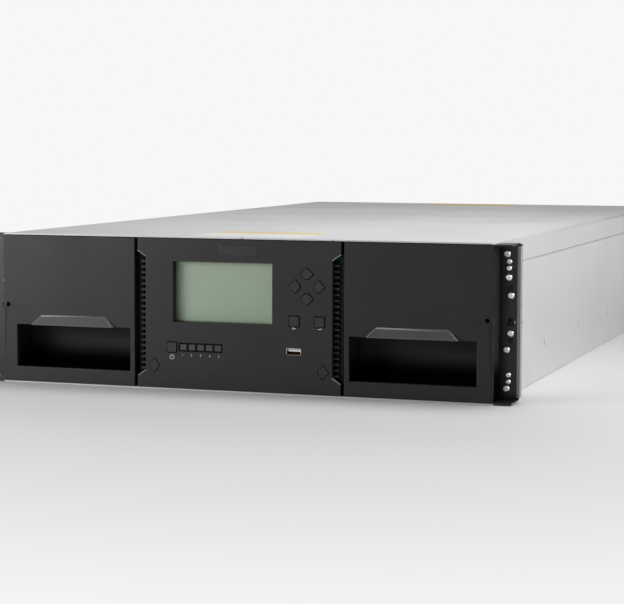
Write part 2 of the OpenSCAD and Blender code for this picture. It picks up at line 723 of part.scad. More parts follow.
module magazine_lock() color("goldenrod") place() difference() {
    side_view(lock_x, lock_x + lock_t) union() {
        tab_y = bezel_wall_d + 8;
        translate([lock_y, lock_z]) circle(4.5);
        polygon([
            [lock_y, lock_z - 3], [tab_y + 12, lock_z - 4], [tab_y + 4, lock_z - 14], [tab_y, lock_z - 14],
            [tab_y + 7, lock_z + 4.5], [notch_y + 2, lock_z + 3], [notch_y + 2, runner_z - 0.4],
            [notch_y + 5, runner_z - 0.4], [notch_y + 7, lock_z + 3], [lock_y, lock_z + 3]
        ]);
    }
    translate([0, lock_y, lock_z]) rod_x(lock_x - eps, lock_x + lock_t + eps, lock_pin_r + bearing_gap);
}
module magazine_lock_right() magazine_lock();
module magazine_lock_left() left_side() magazine_lock();

module magazine_guides() color("dimgray") place() both_sides()
    for (x = [magazine_x0 + 3, magazine_x1 - 8])
        block([x, bezel_wall_d + 2, sheet_t], [x + 4, magazine_y0 + magazine_len, sheet_t + guide_h]);

// ---------------------------------------------------------------- robot

function involute(r, base) = r <= base ? 0 : sqrt(pow(r / base, 2) - 1) * 180 / PI - acos(base / r);
module pinion_outline() {
    base = pitch_r * cos(20);
    root = pitch_r - 1.25 * gear_module * 0.75;
    backlash = 0.06;
    half = 90 / pinion_teeth - backlash / pitch_r * 180 / PI / 2;
    steps = [root, base, base + (pinion_tip - base) * 0.35, base + (pinion_tip - base) * 0.7, pinion_tip];
    function flank(r) = half + involute(pitch_r, base) - involute(r, base);
    polygon([
        for (t = [0:pinion_teeth - 1]) let (mid = t * 360 / pinion_teeth)
            each concat(
                [for (r = steps) r * [cos(mid - flank(r)), sin(mid - flank(r))]],
                [for (i = [len(steps) - 1:-1:0]) steps[i] * [cos(mid + flank(steps[i])), sin(mid + flank(steps[i]))]]
            )
    ]);
}
// A rack standing up, teeth towards +Y, its pitch line at y = 0
module rack_outline(top) {
    tip = 0.6 * gear_module;
    root = -1.25 * gear_module;
    backlash = 0.06;
    half = tooth_pitch / 4 - backlash / 2;
    first = ceil((sheet_t + tooth_pitch - pinion_z) / tooth_pitch) + 0.5;
    teeth = floor((top - pinion_z) / tooth_pitch - first);
    polygon(concat(
        [[-rack_back, sheet_t], [root, sheet_t]],
        [for (t = [0:teeth - 1]) let (z = pinion_z + (first + t) * tooth_pitch) each [
            [root, z - half + root * tan(20)], [tip, z - half + tip * tan(20)],
            [tip, z + half - tip * tan(20)], [root, z + half - root * tan(20)]
        ]],
        [[root, top], [-rack_back, top]]
    ));
}
module lift_racks() color("whitesmoke") place() both_sides() {
    top = pinion_z + lift_travel + pinion_tip + 3;
    side_view(rack_x, rack_x + rack_face) translate([front_shaft_y - pitch_r, 0]) rack_outline(top);
    side_view(rack_x, rack_x + rack_face) translate([rear_shaft_y + pitch_r, 0]) mirror([1, 0]) rack_outline(top);
}

bearing_x = rack_x - 12;
bearing_w = 8;
gearbox_w = 18;
// Block on a cross beam's outer face, bored for a lift shaft
module shaft_block(x0, x1, shaft_y, beam_y) difference() {
    block([x0, min(shaft_y - 5, beam_y - eps), rail_z], [x1, max(shaft_y + 5, beam_y + eps), 2 * pinion_z - rail_z]);
    translate([0, shaft_y, pinion_z]) rod_x(x0 - eps, x1 + eps, shaft_r + bearing_gap);
}
module elevator_frame() color("slategray") place() {
    channel = 4;
    slot_h = carriage_t + 0.4;
    both_sides() front_view(beam_y0, beam_y1) difference() {
        translate([rail_x, rail_z]) square([rail_w, rail_h]);
        translate([rail_x - eps, carriage_z - 0.2]) square([channel + eps, slot_h]);
    }
    block([-rail_x - rail_w, beam_y0, rail_z], [rail_x + rail_w, beam_y0 + beam_d, rail_z + rail_h]);
    block([-rail_x - rail_w, beam_y1 - beam_d, rail_z], [rail_x + rail_w, beam_y1, rail_z + rail_h]);
    both_sides() for (s = [[front_shaft_y, beam_y0], [rear_shaft_y, beam_y1]])
        shaft_block(bearing_x, bearing_x + bearing_w, s[0], s[1]);
    shaft_block(-gearbox_w / 2, gearbox_w / 2, rear_shaft_y, beam_y1);
    // lift motor on the rear gearbox
    translate([0, rear_shaft_y, 2 * pinion_z - rail_z]) cylinder(h = 18, r = 7);
}
module lift_shaft(y) color("lightgray") place() translate([0, y, pinion_z]) {
    rod_x(-rack_x - rack_face + 0.5, rack_x + rack_face - 0.5, shaft_r);
    both_sides() side_view(rack_x + 0.5, rack_x + rack_face - 0.5) pinion_outline();
}
module lift_shaft_front() lift_shaft(front_shaft_y);
module lift_shaft_rear() lift_shaft(rear_shaft_y);

module picker_carriage() color("steelblue") place() translate([0, picker_y, 0]) {
    tongue = rail_x + 4 - run_gap;
    top = carriage_z + carriage_t;
    difference() {
        block([-tongue, -carriage_l / 2, carriage_z], [tongue, carriage_l / 2, top]);
        both_sides() for (y = [-1, 1]) translate([0, y * (carriage_l / 2 - 14), 0])
            block([pedestal_r + 12, -8, carriage_z - eps], [rail_x - 12, 8, top + eps]);
    }
    translate([0, 0, top]) cylinder(h = table_z - run_gap - top, r = pedestal_r);
    translate([0, 0, top]) cylinder(h = slot_floor - 0.2 - top, r = pivot_r);
}
module picker_turntable() color("orange") place() translate([0, picker_y, 0]) {
    inner = tray_half - tray_wall;
    strap_d = 9;
    difference() {
        block([-tray_half, -tray_back, table_z], [tray_half, tray_reach, slot_floor]);
        translate([0, 0, table_z - eps]) cylinder(h = slot_floor - table_z + 2 * eps, r = pivot_r + bearing_gap);
    }
    for (s = [-1, 1]) translate([s * (inner + tray_wall / 2), 0, 0])
        block([-tray_wall / 2, -tray_back, slot_floor], [tray_wall / 2, tray_reach, tray_top]);
    block([-inner, -tray_back, slot_floor], [inner, -tray_back + tray_wall, tray_top]);
    for (y = [-tray_back, tray_reach - strap_d])
        block([-tray_half, y, tray_top], [tray_half, y + strap_d, tray_top + sheet_t]);
}
gripper_y = picker_y - tray_back + tray_wall + 0.5;
module gripper_slide() color("#50555c") place() translate([0, gripper_y, 0]) {
    half = tray_half - tray_wall - run_gap;
    top = slot_floor + gripper_h;
    pin_top = top - 3;
    difference() {
        block([-half, 0, slot_floor + run_gap], [half, gripper_d, top]);
        both_sides() block([finger_x - 6, 4, slot_floor + 4], [half + eps, gripper_d + eps, pin_top]);
    }
    both_sides() translate([finger_x, gripper_d - 4, slot_floor + 4 - eps]) cylinder(h = pin_top - slot_floor - 4 + 2 * eps, r = 1.5);
}
module gripper_finger() color("silver") place() translate([finger_x, gripper_y + gripper_d - 4, slot_floor + 4.2]) {
    depth = 7.6;
    difference() {
        linear_extrude(depth) union() {
            circle(2.8);
            polygon([[-1.5, 0], [1.5, 0], [1.5, finger_l], [-1, finger_l], [-3.5, finger_l - 1.5], [-3.5, finger_l - 4], [-1.5, finger_l - 4]]);
        }
        translate([0, 0, -eps]) cylinder(h = depth + 2 * eps, r = 1.5 + bearing_gap);
    }
}
module gripper_finger_right() gripper_finger();
module gripper_finger_left() left_side() gripper_finger();

// ---------------------------------------------------------------- rear modules

// Plates of the drive bays: a wall with three mouths, two side walls, ledges and runners
module drive_bay_frame() color("darkgray") place() {
    wall_top = body_h - sheet_t - face_gap;
    wall_end = body_d - sheet_t - face_gap;
    side_y = bay_y + sheet_t + plate_gap;
    mouth_w = cartridge_l + 8;
    ledge_w = 8;
    ledge_t = 1.1;
    half = max(rack_x + rack_face, bay_half) + 2;
    front_view(bay_y, bay_y + sheet_t) difference() {
        translate([-half, sheet_t]) square([2 * half, wall_top - sheet_t]);
        for (i = [0, 1, 2])
            translate([-mouth_w / 2, bay_z + i * bay_pitch + 5]) square([mouth_w, drive_h - 10]);
    }
    both_sides() block([bay_half, side_y, sheet_t], [bay_half + sheet_t, wall_end, wall_top]);
    both_sides() for (i = [0, 1, 2]) translate([0, 0, bay_z + i * bay_pitch - run_gap])
        block([bay_half - ledge_w, side_y, -ledge_t], [bay_half - plate_gap, wall_end, 0]);
    // shelf under the upper power supply
    block([bay_half + sheet_t + plate_gap, bay_y + 30, shelf_z], [side_in, wall_end, shelf_z + sheet_t]);
    // runners under the lower power supply and the controller
    for (x = [psu_x + 6, psu_x + psu_w - 14, controller_x + 6, controller_x + controller_w - 14])
        block([x, bay_y + 30, sheet_t], [x + 8, wall_end, bay_z - run_gap]);
}
module bay_cover() color("silver") place() {
    lap = 0.6;
    z = bay_z + 2 * bay_pitch;
    front_view(module_face, module_face + plate_t) translate([-drive_w / 2 - lap, z - lap]) square([drive_w + 2 * lap, drive_h + 2 * lap]);
    front_view(body_d - sheet_t, module_face) translate([-drive_w / 2 + 1, z + 1]) frame_inset();
}
module frame_inset() difference() {
    square([drive_w - 2, drive_h - 2]);
    translate([1.5, 1.5]) square([drive_w - 5, drive_h - 5]);
}

// Ring slots of a finger guard
module guard_slots() difference() {
    for (r = [fan_r * 0.5, fan_r * 0.72, fan_r * 0.94]) difference() { circle(r + 1.2); circle(r - 1.2); }
    for (a = [45, 135]) rotate(a) square([3 * fan_r, 2.2], center = true);
}
fan_d = 10;
stator_r = 5;
// Space for a fan behind a face plate, and the stator boss that carries it
module fan_well(y) difference() {
    rod_y(y - fan_d - 2, y, fan_r + 1.5);
    rod_y(y - fan_d - 2 - eps, y - 3, stator_r);
}
module fan(y) color("#303338") {
    hub_r = stator_r + 2.5;
    blades = 7;
    front = y - fan_d - 1;
    back = y - 2.5;
    difference() {
        rod_y(front, back, hub_r);
        rod_y(front - eps, y - 3 + bearing_gap, stator_r + bearing_gap);
    }
    intersection() {
        difference() { rod_y(front, back, fan_r); rod_y(front - eps, back + eps, hub_r - 0.5); }
        for (i = [0:blades - 1]) rotate([0, i * 360 / blades, 0])
            translate([fan_r / 2, (front + back) / 2, 0]) rotate([38, 0, 0]) cube([fan_r + 2, 1, 9], center = true);
    }
}

drive_fan_x = -drive_w / 2 + 22;
mouth_d = 60;
module drive(i) color("#8d9096") place() translate([0, 0, bay_z + i * bay_pitch]) {
    lap = 0.6;
    face = module_face + plate_t;
    mid = drive_h / 2;
    bar = 5;
    grip = [18, 68];
    difference() {
        union() {
            block([-drive_w / 2, module_y, 0], [drive_w / 2, module_face, drive_h]);
            block([-drive_w / 2 - lap, module_face, -lap], [drive_w / 2 + lap, face, drive_h + lap]);
        }
        translate([drive_fan_x, 0, mid]) fan_well(module_face);
        translate([drive_fan_x, 0, mid]) front_view(module_face - eps, face + eps) guard_slots();
        // mouth that takes a cartridge from the picker
        block([-cartridge_l / 2 - 0.8, module_y - eps, 9], [cartridge_l / 2 + 0.8, module_y + mouth_d, 9 + cartridge_h + 1.2]);
        for (x = [-26, -8]) block([x - 6, face - 7, mid - 5], [x + 6, face + eps, mid + 5]);
    }
    for (x = grip) block([x, face, mid - bar / 2], [x + bar, face + pull_reach - bar, mid + bar / 2]);
    block([grip[0], face + pull_reach - bar, mid - bar / 2], [grip[1] + bar, face + pull_reach, mid + bar / 2]);
}
module drive_1() drive(0);
module drive_2() drive(1);
module drive_fan(i) place() translate([drive_fan_x, 0, bay_z + i * bay_pitch + drive_h / 2]) fan(module_face);
module drive_fan_1() drive_fan(0);
module drive_fan_2() drive_fan(1);

psu_fan_x = psu_x + 20;
bail_w = 14;
bail_x = psu_x + 43;
inlet_x = psu_x + psu_w - 19;
bail_lug = 2;
bail_y = module_face + plate_t + 3;
module psu(i) color("#a7abb0") place() translate([0, 0, psu_z[i]]) {
    lap = 1.2;
    face = module_face + plate_t;
    mid = psu_h / 2;
    inlet_w = 24.6;
    inlet_h = 17;
    inlet_d = 15;
    difference() {
        union() {
            block([psu_x, bay_y + 30, 0], [psu_x + psu_w, module_face, psu_h]);
            block([psu_x - lap, module_face, -lap], [psu_x + psu_w + lap, face, psu_h + lap]);
        }
        translate([psu_fan_x, 0, mid]) fan_well(module_face);
        translate([psu_fan_x, 0, mid]) front_view(module_face - eps, face + eps) guard_slots();
        translate([inlet_x, 0, mid]) front_view(face - inlet_d, face + eps) polygon([
            [-inlet_w / 2, -inlet_h / 2], [inlet_w / 2, -inlet_h / 2], [inlet_w / 2, inlet_h / 2 - 4],
            [inlet_w / 2 - 4, inlet_h / 2], [4 - inlet_w / 2, inlet_h / 2], [-inlet_w / 2, inlet_h / 2 - 4]
        ]);
    }
    // contact blades of the inlet
    for (pin = [[-7, 0], [0, 4], [7, 0]])
        translate([inlet_x + pin[0], 0, mid + pin[1]]) block([-1, face - inlet_d, -2], [1, face - 3, 2]);
    // lugs of the bail handle
    for (x = [bail_x - bail_lug - run_gap, bail_x + bail_w + run_gap]) difference() {
        translate([x, 0, psu_h - 8]) block([0, face, 0], [bail_lug, face + 6, 6]);
        translate([0, bail_y, psu_h - 5]) rod_x(x - eps, x + bail_lug + eps, 1.5 + bearing_gap);
    }
}
module psu_1() psu(0);
module psu_2() psu(1);
module psu_fan(i) place() translate([psu_fan_x, 0, psu_z[i] + psu_h / 2]) fan(module_face);
module psu_fan_1() psu_fan(0);
module psu_fan_2() psu_fan(1);
module psu_handle(i) color("#3d7a4a") place() translate([bail_x, bail_y, psu_z[i] + psu_h - 5]) {
    bar = 3;
    drop = 24;
    translate([0, 0, 0]) rod_x(-bail_lug - run_gap, bail_w + bail_lug + run_gap, 1.5);
    for (x = [0, bail_w - bar]) block([x, -bar / 2, -drop], [x + bar, bar / 2, 0]);
    block([0, -bar / 2, -drop - bar], [bail_w, bar / 2, -drop]);
}
module psu_handle_1() psu_handle(0);
module psu_handle_2() psu_handle(1);

port_x = [controller_w / 2 - 38, controller_w / 2 - 18];
rear_usb_x = controller_w / 2;
service_x = controller_w / 2 + 22;
module controller_module() color("#9a9ea4") place() translate([controller_x, 0, bay_z]) {
    lap = 1.2;
    face = module_face + plate_t;
    mid = controller_h / 2;
    difference() {
        union() {
            block([0, bay_y + 60, 0], [controller_w, module_face, controller_h]);
            block([-lap, module_face, -lap], [controller_w + lap, face, controller_h + lap]);
        }
        for (x = port_x) block([x - 6, face - 13, mid - 4], [x + 6, face + eps, mid + 5]);
        for (z = [mid - 6, mid + 3])
            block([rear_usb_x, face - 10, z], [rear_usb_x + 13.2, face + eps, z + 5.8]);
        block([service_x, face - 8, mid - 3], [service_x + 12, face + eps, mid + 3]);
    }
    for (x = [8, controller_w - 8]) translate([x, 0, mid]) rod_y(face, face + 9, 4.5);
}

bottom_pan();
side_panel_left();
side_panel_right();
top_cover();
front_frame();
rear_panel();
rack_ear_left();
rack_ear_right();
ear_screws();
chassis_fasteners();
control_panel_shell();
blank_badge();
display_glass();
control_board();
light_guides();
usb_socket();
vent_grilles();
panel_screw_caps();
magazine_guides();
lift_racks();
drive_bay_frame();
bay_cover();
magazine_bezel_left();
magazine_bezel_right();
magazine_frame_left();
magazine_frame_right();
magazine_shelves_left();
magazine_shelves_right();
cartridges_left();
cartridges_right();
magazine_lock_left();
magazine_lock_right();
button_up();
button_left();
button_down();
button_right();
button_back();
button_enter();
button_power();
elevator_frame();
lift_shaft_front();
lift_shaft_rear();
picker_carriage();
picker_turntable();
gripper_slide();
gripper_finger_left();
gripper_finger_right();
drive_1();
drive_2();
drive_fan_1();
drive_fan_2();
psu_1();
psu_2();
psu_fan_1();
psu_fan_2();
psu_handle_1();
psu_handle_2();
controller_module();
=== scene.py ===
import math

import bpy
from mathutils import Matrix, Vector


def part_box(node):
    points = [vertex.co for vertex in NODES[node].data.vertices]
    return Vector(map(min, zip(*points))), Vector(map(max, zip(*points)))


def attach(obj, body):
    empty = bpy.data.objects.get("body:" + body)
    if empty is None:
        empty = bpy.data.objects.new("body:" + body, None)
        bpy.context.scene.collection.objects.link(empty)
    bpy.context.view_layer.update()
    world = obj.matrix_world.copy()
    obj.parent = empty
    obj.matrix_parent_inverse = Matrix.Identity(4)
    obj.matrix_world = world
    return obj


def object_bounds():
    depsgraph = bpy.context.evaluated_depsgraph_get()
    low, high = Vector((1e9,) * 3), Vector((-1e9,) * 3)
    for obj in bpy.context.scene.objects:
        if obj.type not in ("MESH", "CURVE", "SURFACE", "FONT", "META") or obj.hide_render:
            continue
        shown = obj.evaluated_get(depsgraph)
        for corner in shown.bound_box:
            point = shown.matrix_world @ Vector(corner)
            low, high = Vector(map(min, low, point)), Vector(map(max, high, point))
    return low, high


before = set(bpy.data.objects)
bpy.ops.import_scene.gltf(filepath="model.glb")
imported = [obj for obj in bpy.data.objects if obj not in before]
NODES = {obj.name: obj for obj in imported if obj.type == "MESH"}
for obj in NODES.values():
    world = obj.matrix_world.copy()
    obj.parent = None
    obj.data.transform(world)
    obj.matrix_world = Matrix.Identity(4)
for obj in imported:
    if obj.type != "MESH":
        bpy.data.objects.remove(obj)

CAD_BOX = [list(map(float, corner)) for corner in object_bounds()]
MM = 0.001


# ---------------------------------------------------------------- places taken from the pieces of model.glb

def span(node):
    low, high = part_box(node)
    return Vector(low), Vector(high)


def middle(node):
    low, high = span(node)
    return (low + high) / 2


def sides(*names):
    return [name + side for name in names for side in ("_left", "_right")]


def numbered(*names):
    return [name + number for name in names for number in ("_1", "_2")]


PANEL_LOW, PANEL_HIGH = span("control_panel_shell")
PANEL_FACE = PANEL_LOW.y
COVER_HIGH = span("top_cover")[1]
EAR_HIGH = span("rack_ear_right")[1]
EAR_GRIP = 46 * MM  # flange of the ear along the chassis wall, behind its plate
EAR_PLATE_BACK = EAR_HIGH.y - EAR_GRIP
FACE_SLACK = 1 * MM  # ahead of the panel's face, so that a mask takes in the face itself


# ---------------------------------------------------------------- shader building blocks

def feed(tree, socket, value):
    """Links another node's output to a socket, or sets the socket's own value."""
    if hasattr(value, "is_output"):
        tree.links.new(value, socket)
    else:
        socket.default_value = value


def add(tree, kind, settings=None, **inputs):
    node = tree.nodes.new(kind)
    for key, value in (settings or {}).items():
        setattr(node, key, value)
    for key, value in inputs.items():
        feed(tree, node.inputs[key.replace("_", " ")], value)
    return node


def maths(tree, operation, *values, clamp=False):
    node = add(tree, "ShaderNodeMath", {"operation": operation, "use_clamp": clamp})
    for socket, value in zip(node.inputs, values):
        feed(tree, socket, value)
    return node.outputs[0]


def blend_colour(tree, factor, first, second):
    node = add(tree, "ShaderNodeMix", {"data_type": "RGBA"})
    for number, value in ((0, factor), (6, first), (7, second)):  # the colour kind's own sockets
        feed(tree, node.inputs[number], value)
    return node.outputs[2]


def ramp(tree, value, low, high):
    node = add(tree, "ShaderNodeMapRange", {"interpolation_type": "SMOOTHSTEP"},
               Value=value, From_Min=low, From_Max=high)
    return node.outputs["Result"]


def noise(tree, place, scale, detail):
    return add(tree, "ShaderNodeTexNoise", Vector=place, Scale=scale, Detail=detail).outputs["Fac"]


def object_place(tree):
    return add(tree, "ShaderNodeTexCoord").outputs["Object"]


def parts(tree, vector):
    return add(tree, "ShaderNodeSeparateXYZ", Vector=vector).outputs


def facing(tree):
    """The X, Y and Z parts of the surface's direction."""
    return parts(tree, add(tree, "ShaderNodeNewGeometry").outputs["Normal"])


def rgba(colour):
    return (*colour, 1.0)


def grey(level):
    return (level, level, level)


def new_group(name, inputs, outputs):
    tree = bpy.data.node_groups.new(name, "ShaderNodeTree")
    for title, kind, value in inputs:
        socket = tree.interface.new_socket(title, in_out="INPUT", socket_type=kind)
        socket.default_value = value
    for title, kind in outputs:
        tree.interface.new_socket(title, in_out="OUTPUT", socket_type=kind)
    return tree, tree.nodes.new("NodeGroupInput").outputs, tree.nodes.new("NodeGroupOutput").inputs


NUMBER, COLOUR = "NodeSocketFloat", "NodeSocketColor"


def make_spark_grain():
    """Fine moulded texture of the plastic parts: pits of two sizes, per metre."""
    tree, given, result = new_group(
        "spark grain",
        [("Scale", NUMBER, 2600.0)],
        [("Height", NUMBER), ("Fleck", NUMBER)])
    place = object_place(tree)
    cells = add(tree, "ShaderNodeTexVoronoi", {"feature": "SMOOTH_F1"},
                Vector=place, Scale=given["Scale"])
    coarse = noise(tree, place, maths(tree, "MULTIPLY", given["Scale"], 0.45), 3.0)
    feed(tree, result["Height"], maths(tree, "ADD", cells.outputs["Distance"], coarse))
    feed(tree, result["Fleck"], ramp(tree, coarse, 0.35, 0.7))
    return tree


def make_handling():
    """Roughness that drifts over a surface, from handling and polish."""
    tree, given, result = new_group(
        "handling",
        [("Base", NUMBER, 0.4), ("Spread", NUMBER, 0.1), ("Scale", NUMBER, 14.0)],
        [("Roughness", NUMBER)])
    patch = ramp(tree, noise(tree, object_place(tree), given["Scale"], 4.0), 0.3, 0.7)
    drift = maths(tree, "MULTIPLY", maths(tree, "SUBTRACT", patch, 0.5), given["Spread"])
    feed(tree, result["Roughness"], maths(tree, "ADD", given["Base"], drift, clamp=True))
    return tree


def make_mottle():
    """Slow change between two near colours."""
    tree, given, result = new_group(
        "mottle",
        [("Colour", COLOUR, (0.5, 0.5, 0.5, 1)), ("Second", COLOUR, (0.4, 0.4, 0.4, 1)),
         ("Scale", NUMBER, 20.0)],
        [("Colour", COLOUR)])
    drift = ramp(tree, noise(tree, object_place(tree), given["Scale"], 5.0), 0.35, 0.65)
    feed(tree, result["Colour"], blend_colour(tree, drift, given["Colour"], given["Second"]))
    return tree


def make_brushing():
    """Long scratches of brushed or rolled metal along X, as a height and a mask."""
    tree, given, result = new_group(
        "brushing",
        [("Fineness", NUMBER, 900.0), ("Stretch", NUMBER, 0.02)],
        [("Height", NUMBER), ("Mask", NUMBER)])
    sizes = add(tree, "ShaderNodeCombineXYZ", X=given["Stretch"], Y=1.0, Z=1.0)
    drawn = add(tree, "ShaderNodeVectorMath", {"operation": "MULTIPLY"})
    feed(tree, drawn.inputs[0], object_place(tree))
    feed(tree, drawn.inputs[1], sizes.outputs[0])
    scratches = noise(tree, drawn.outputs[0], given["Fineness"], 4.0)
    feed(tree, result["Height"], scratches)
    feed(tree, result["Mask"], ramp(tree, scratches, 0.3, 0.7))
    return tree


def make_settled_dust():
    """A thin pale film on faces that look up, broken by noise."""
    tree, given, result = new_group(
        "settled dust",
        [("Colour", COLOUR, (0.1, 0.1, 0.1, 1)), ("Dust", COLOUR, (0.5, 0.5, 0.5, 1)),
         ("Amount", NUMBER, 0.1)],
        [("Colour", COLOUR)])
    broken = ramp(tree, noise(tree, object_place(tree), 160.0, 6.0), 0.3, 0.75)
    film = maths(tree, "MULTIPLY", ramp(tree, facing(tree)["Z"], 0.3, 1.0), broken)
    amount = maths(tree, "MULTIPLY", film, given["Amount"])
    feed(tree, result["Colour"], blend_colour(tree, amount, given["Colour"], given["Dust"]))
    return tree


SPARK_GRAIN = make_spark_grain()
HANDLING = make_handling()
MOTTLE = make_mottle()
BRUSHING = make_brushing()
SETTLED_DUST = make_settled_dust()


def use_group(tree, group, **inputs):
    node = add(tree, "ShaderNodeGroup", {"node_tree": group})
    for key, value in inputs.items():
        feed(tree, node.inputs[key], value)
    return node.outputs


def surface(name, metallic=0.0, coat=0.0, coat_roughness=0.1, specular=0.5):
    """A material with its own Principled shader, ready for its finish."""
    material = bpy.data.materials.new(name)
    material.use_nodes = True
    shader = material.node_tree.nodes["Principled BSDF"]
    shader.inputs["Metallic"].default_value = metallic
    shader.inputs["Coat Weight"].default_value = coat
    shader.inputs["Coat Roughness"].default_value = coat_roughness
    shader.inputs["Specular IOR Level"].default_value = specular
    return material, material.node_tree, shader


def lay_gloss(tree, shader, roughness, spread, scale):
    rough = use_group(tree, HANDLING, Base=roughness, Spread=spread, Scale=scale)
    feed(tree, shader.inputs["Roughness"], rough["Roughness"])


def raise_bump(tree, shader, height, distance, strength=0.5):
    bump = add(tree, "ShaderNodeBump", Height=height, Distance=distance, Strength=strength)
    feed(tree, shader.inputs["Normal"], bump.outputs["Normal"])


def moulded_plastic(name, colour, second, roughness=0.45, grain=2600.0, depth=0.00006, dust=0.05,
                    specular=0.5):
    """Grained plastic with pale flecks and a little dust; grain per metre, its depth in metres."""
    material, tree, shader = surface(name, specular=specular)
    pits = use_group(tree, SPARK_GRAIN, Scale=grain)
    tone = use_group(tree, MOTTLE, Colour=rgba(colour), Second=rgba(second), Scale=26.0)
    flecked = blend_colour(tree, maths(tree, "MULTIPLY", pits["Fleck"], 0.25),
                           tone["Colour"], rgba([c * 1.7 + 0.004 for c in colour]))
    dusty = use_group(tree, SETTLED_DUST, Colour=flecked, Dust=(0.42, 0.42, 0.41, 1), Amount=dust)
    feed(tree, shader.inputs["Base Color"], dusty["Colour"])
    lay_gloss(tree, shader, roughness, 0.1, 18.0)
    raise_bump(tree, shader, pits["Height"], depth)
    return material


def painted_sheet(name, colour, second, roughness=0.38, peel=420.0, depth=0.00005):
    """Powder coat: a slow orange peel, a faint drift of tone."""
    material, tree, shader = surface(name, specular=0.45)
    tone = use_group(tree, MOTTLE, Colour=rgba(colour), Second=rgba(second), Scale=6.0)
    feed(tree, shader.inputs["Base Color"], tone["Colour"])
    lay_gloss(tree, shader, roughness, 0.08, 9.0)
    raise_bump(tree, shader, use_group(tree, SPARK_GRAIN, Scale=peel)["Height"], depth, 0.3)
    return material


def bare_metal(name, colour, second, roughness=0.3, fineness=900.0, stretch=0.02):
    """Metal with scratches along X; fineness per metre, a small stretch draws them long."""
    material, tree, shader = surface(name, metallic=1.0)
    brush = use_group(tree, BRUSHING, Fineness=fineness, Stretch=stretch)
    tone = blend_colour(tree, brush["Mask"], rgba(colour), rgba(second))
    feed(tree, shader.inputs["Base Color"], tone)
    lay_gloss(tree, shader, roughness, 0.14, 60.0)
    raise_bump(tree, shader, brush["Height"], 0.00002, 0.4)
    return material


# ---------------------------------------------------------------- masks and paint by place

def from_middle(tree, place, axis, low, high):
    """How far a coordinate lies from the middle of a range."""
    off = maths(tree, "SUBTRACT", parts(tree, place)[axis], (low + high) / 2)
    return maths(tree, "ABSOLUTE", off)


def in_range(tree, place, axis, low, high):
    """1 where a coordinate lies between two values."""
    return maths(tree, "LESS_THAN", from_middle(tree, place, axis, low, high), (high - low) / 2)


def behind(tree, place, y):
    """1 from a plane across the library back to the library's middle."""
    return in_range(tree, place, "Y", y, 0)


def ahead_of_ears(tree, place):
    """1 from the panel's face to the back of the ears' plates."""
    return in_range(tree, place, "Y", PANEL_FACE - FACE_SLACK, EAR_PLATE_BACK)


def overlap(tree, first, *others):
    """1 where all the masks meet."""
    for mask in others:
        first = maths(tree, "MULTIPLY", first, mask)
    return first


def round_spot(tree, place, x, z, radius):
    """1 inside a circle seen from the front, on both sides of the middle."""
    across = maths(tree, "SUBTRACT", maths(tree, "ABSOLUTE", parts(tree, place)["X"]), x)
    upward = maths(tree, "SUBTRACT", parts(tree, place)["Z"], z)
    squares = [maths(tree, "MULTIPLY", off, off) for off in (across, upward)]
    return maths(tree, "LESS_THAN", maths(tree, "ADD", *squares), radius * radius)


def repaint(material, mask, colour, roughness=None, metallic=None):
    """Another colour, and if wanted another gloss, on the masked part of a finished material."""
    tree = material.node_tree
    shader = tree.nodes["Principled BSDF"]
    under = shader.inputs["Base Color"].links[0].from_socket
    feed(tree, shader.inputs["Base Color"], blend_colour(tree, mask, under, rgba(colour)))
    for name, value in (("Roughness", roughness), ("Metallic", metallic)):
        if value is None:
            continue
        socket = shader.inputs[name]
        before = socket.links[0].from_socket if socket.links else socket.default_value
        change = maths(tree, "MULTIPLY", maths(tree, "SUBTRACT", value, before), mask)
        feed(tree, socket, maths(tree, "ADD", before, change))
    return material


def paint_shade(material, mask, level):
    """Painted shade: black without any gloss, for places that stay in the shade."""
    return repaint(material, mask, grey(level), 0.8, 1.0)


# ---------------------------------------------------------------- finishes of this library

PALE_COAT = ((0.74, 0.745, 0.755), (0.70, 0.705, 0.715))
ZINC_PLATE = ((0.80, 0.80, 0.79), (0.70, 0.71, 0.72), 0.22, 500.0, 0.4)
BLACK_PLASTIC = ((0.0175, 0.0175, 0.0182), (0.0145, 0.0145, 0.0152), 0.44)
# painted shade where the chassis shows in the gap between bezel and ear
PAINTED_SHADE_COAT = (0.012, 0.012, 0.013)
# painted light on the bezels' lips, whose faces tilt up towards the lamps
LIP_PAINTED_LIGHT = (0.095, 0.095, 0.098)
# painted highlight on edges of the lips and of the vents' slants, where they catch the light
EDGE_HIGHLIGHT = (0.34, 0.34, 0.35)
# painted highlight along the cover's beads
BEAD_HIGHLIGHT = (0.95, 0.95, 0.95)
STICKER_WHITE, STICKER_AMBER = (0.86, 0.86, 0.85), (0.86, 0.62, 0.16)
FLANGE_TOP = 1.4 * MM  # below the cover's top: where the painted shade on its side flange starts
DISPLAY_RIM_SHADE = (3.6 * MM, 1.6 * MM)  # in from the display's edge: the painted shade of the rim starts, and is full
EAR_HOLES = [  # distance from the middle, height, radius
    (232.56 * MM, 66.7 * MM, 3.7 * MM),
    (232 * MM, 95.2 * MM, 2.1 * MM),
    (232.4 * MM, 51.8 * MM, 2.2 * MM),
]
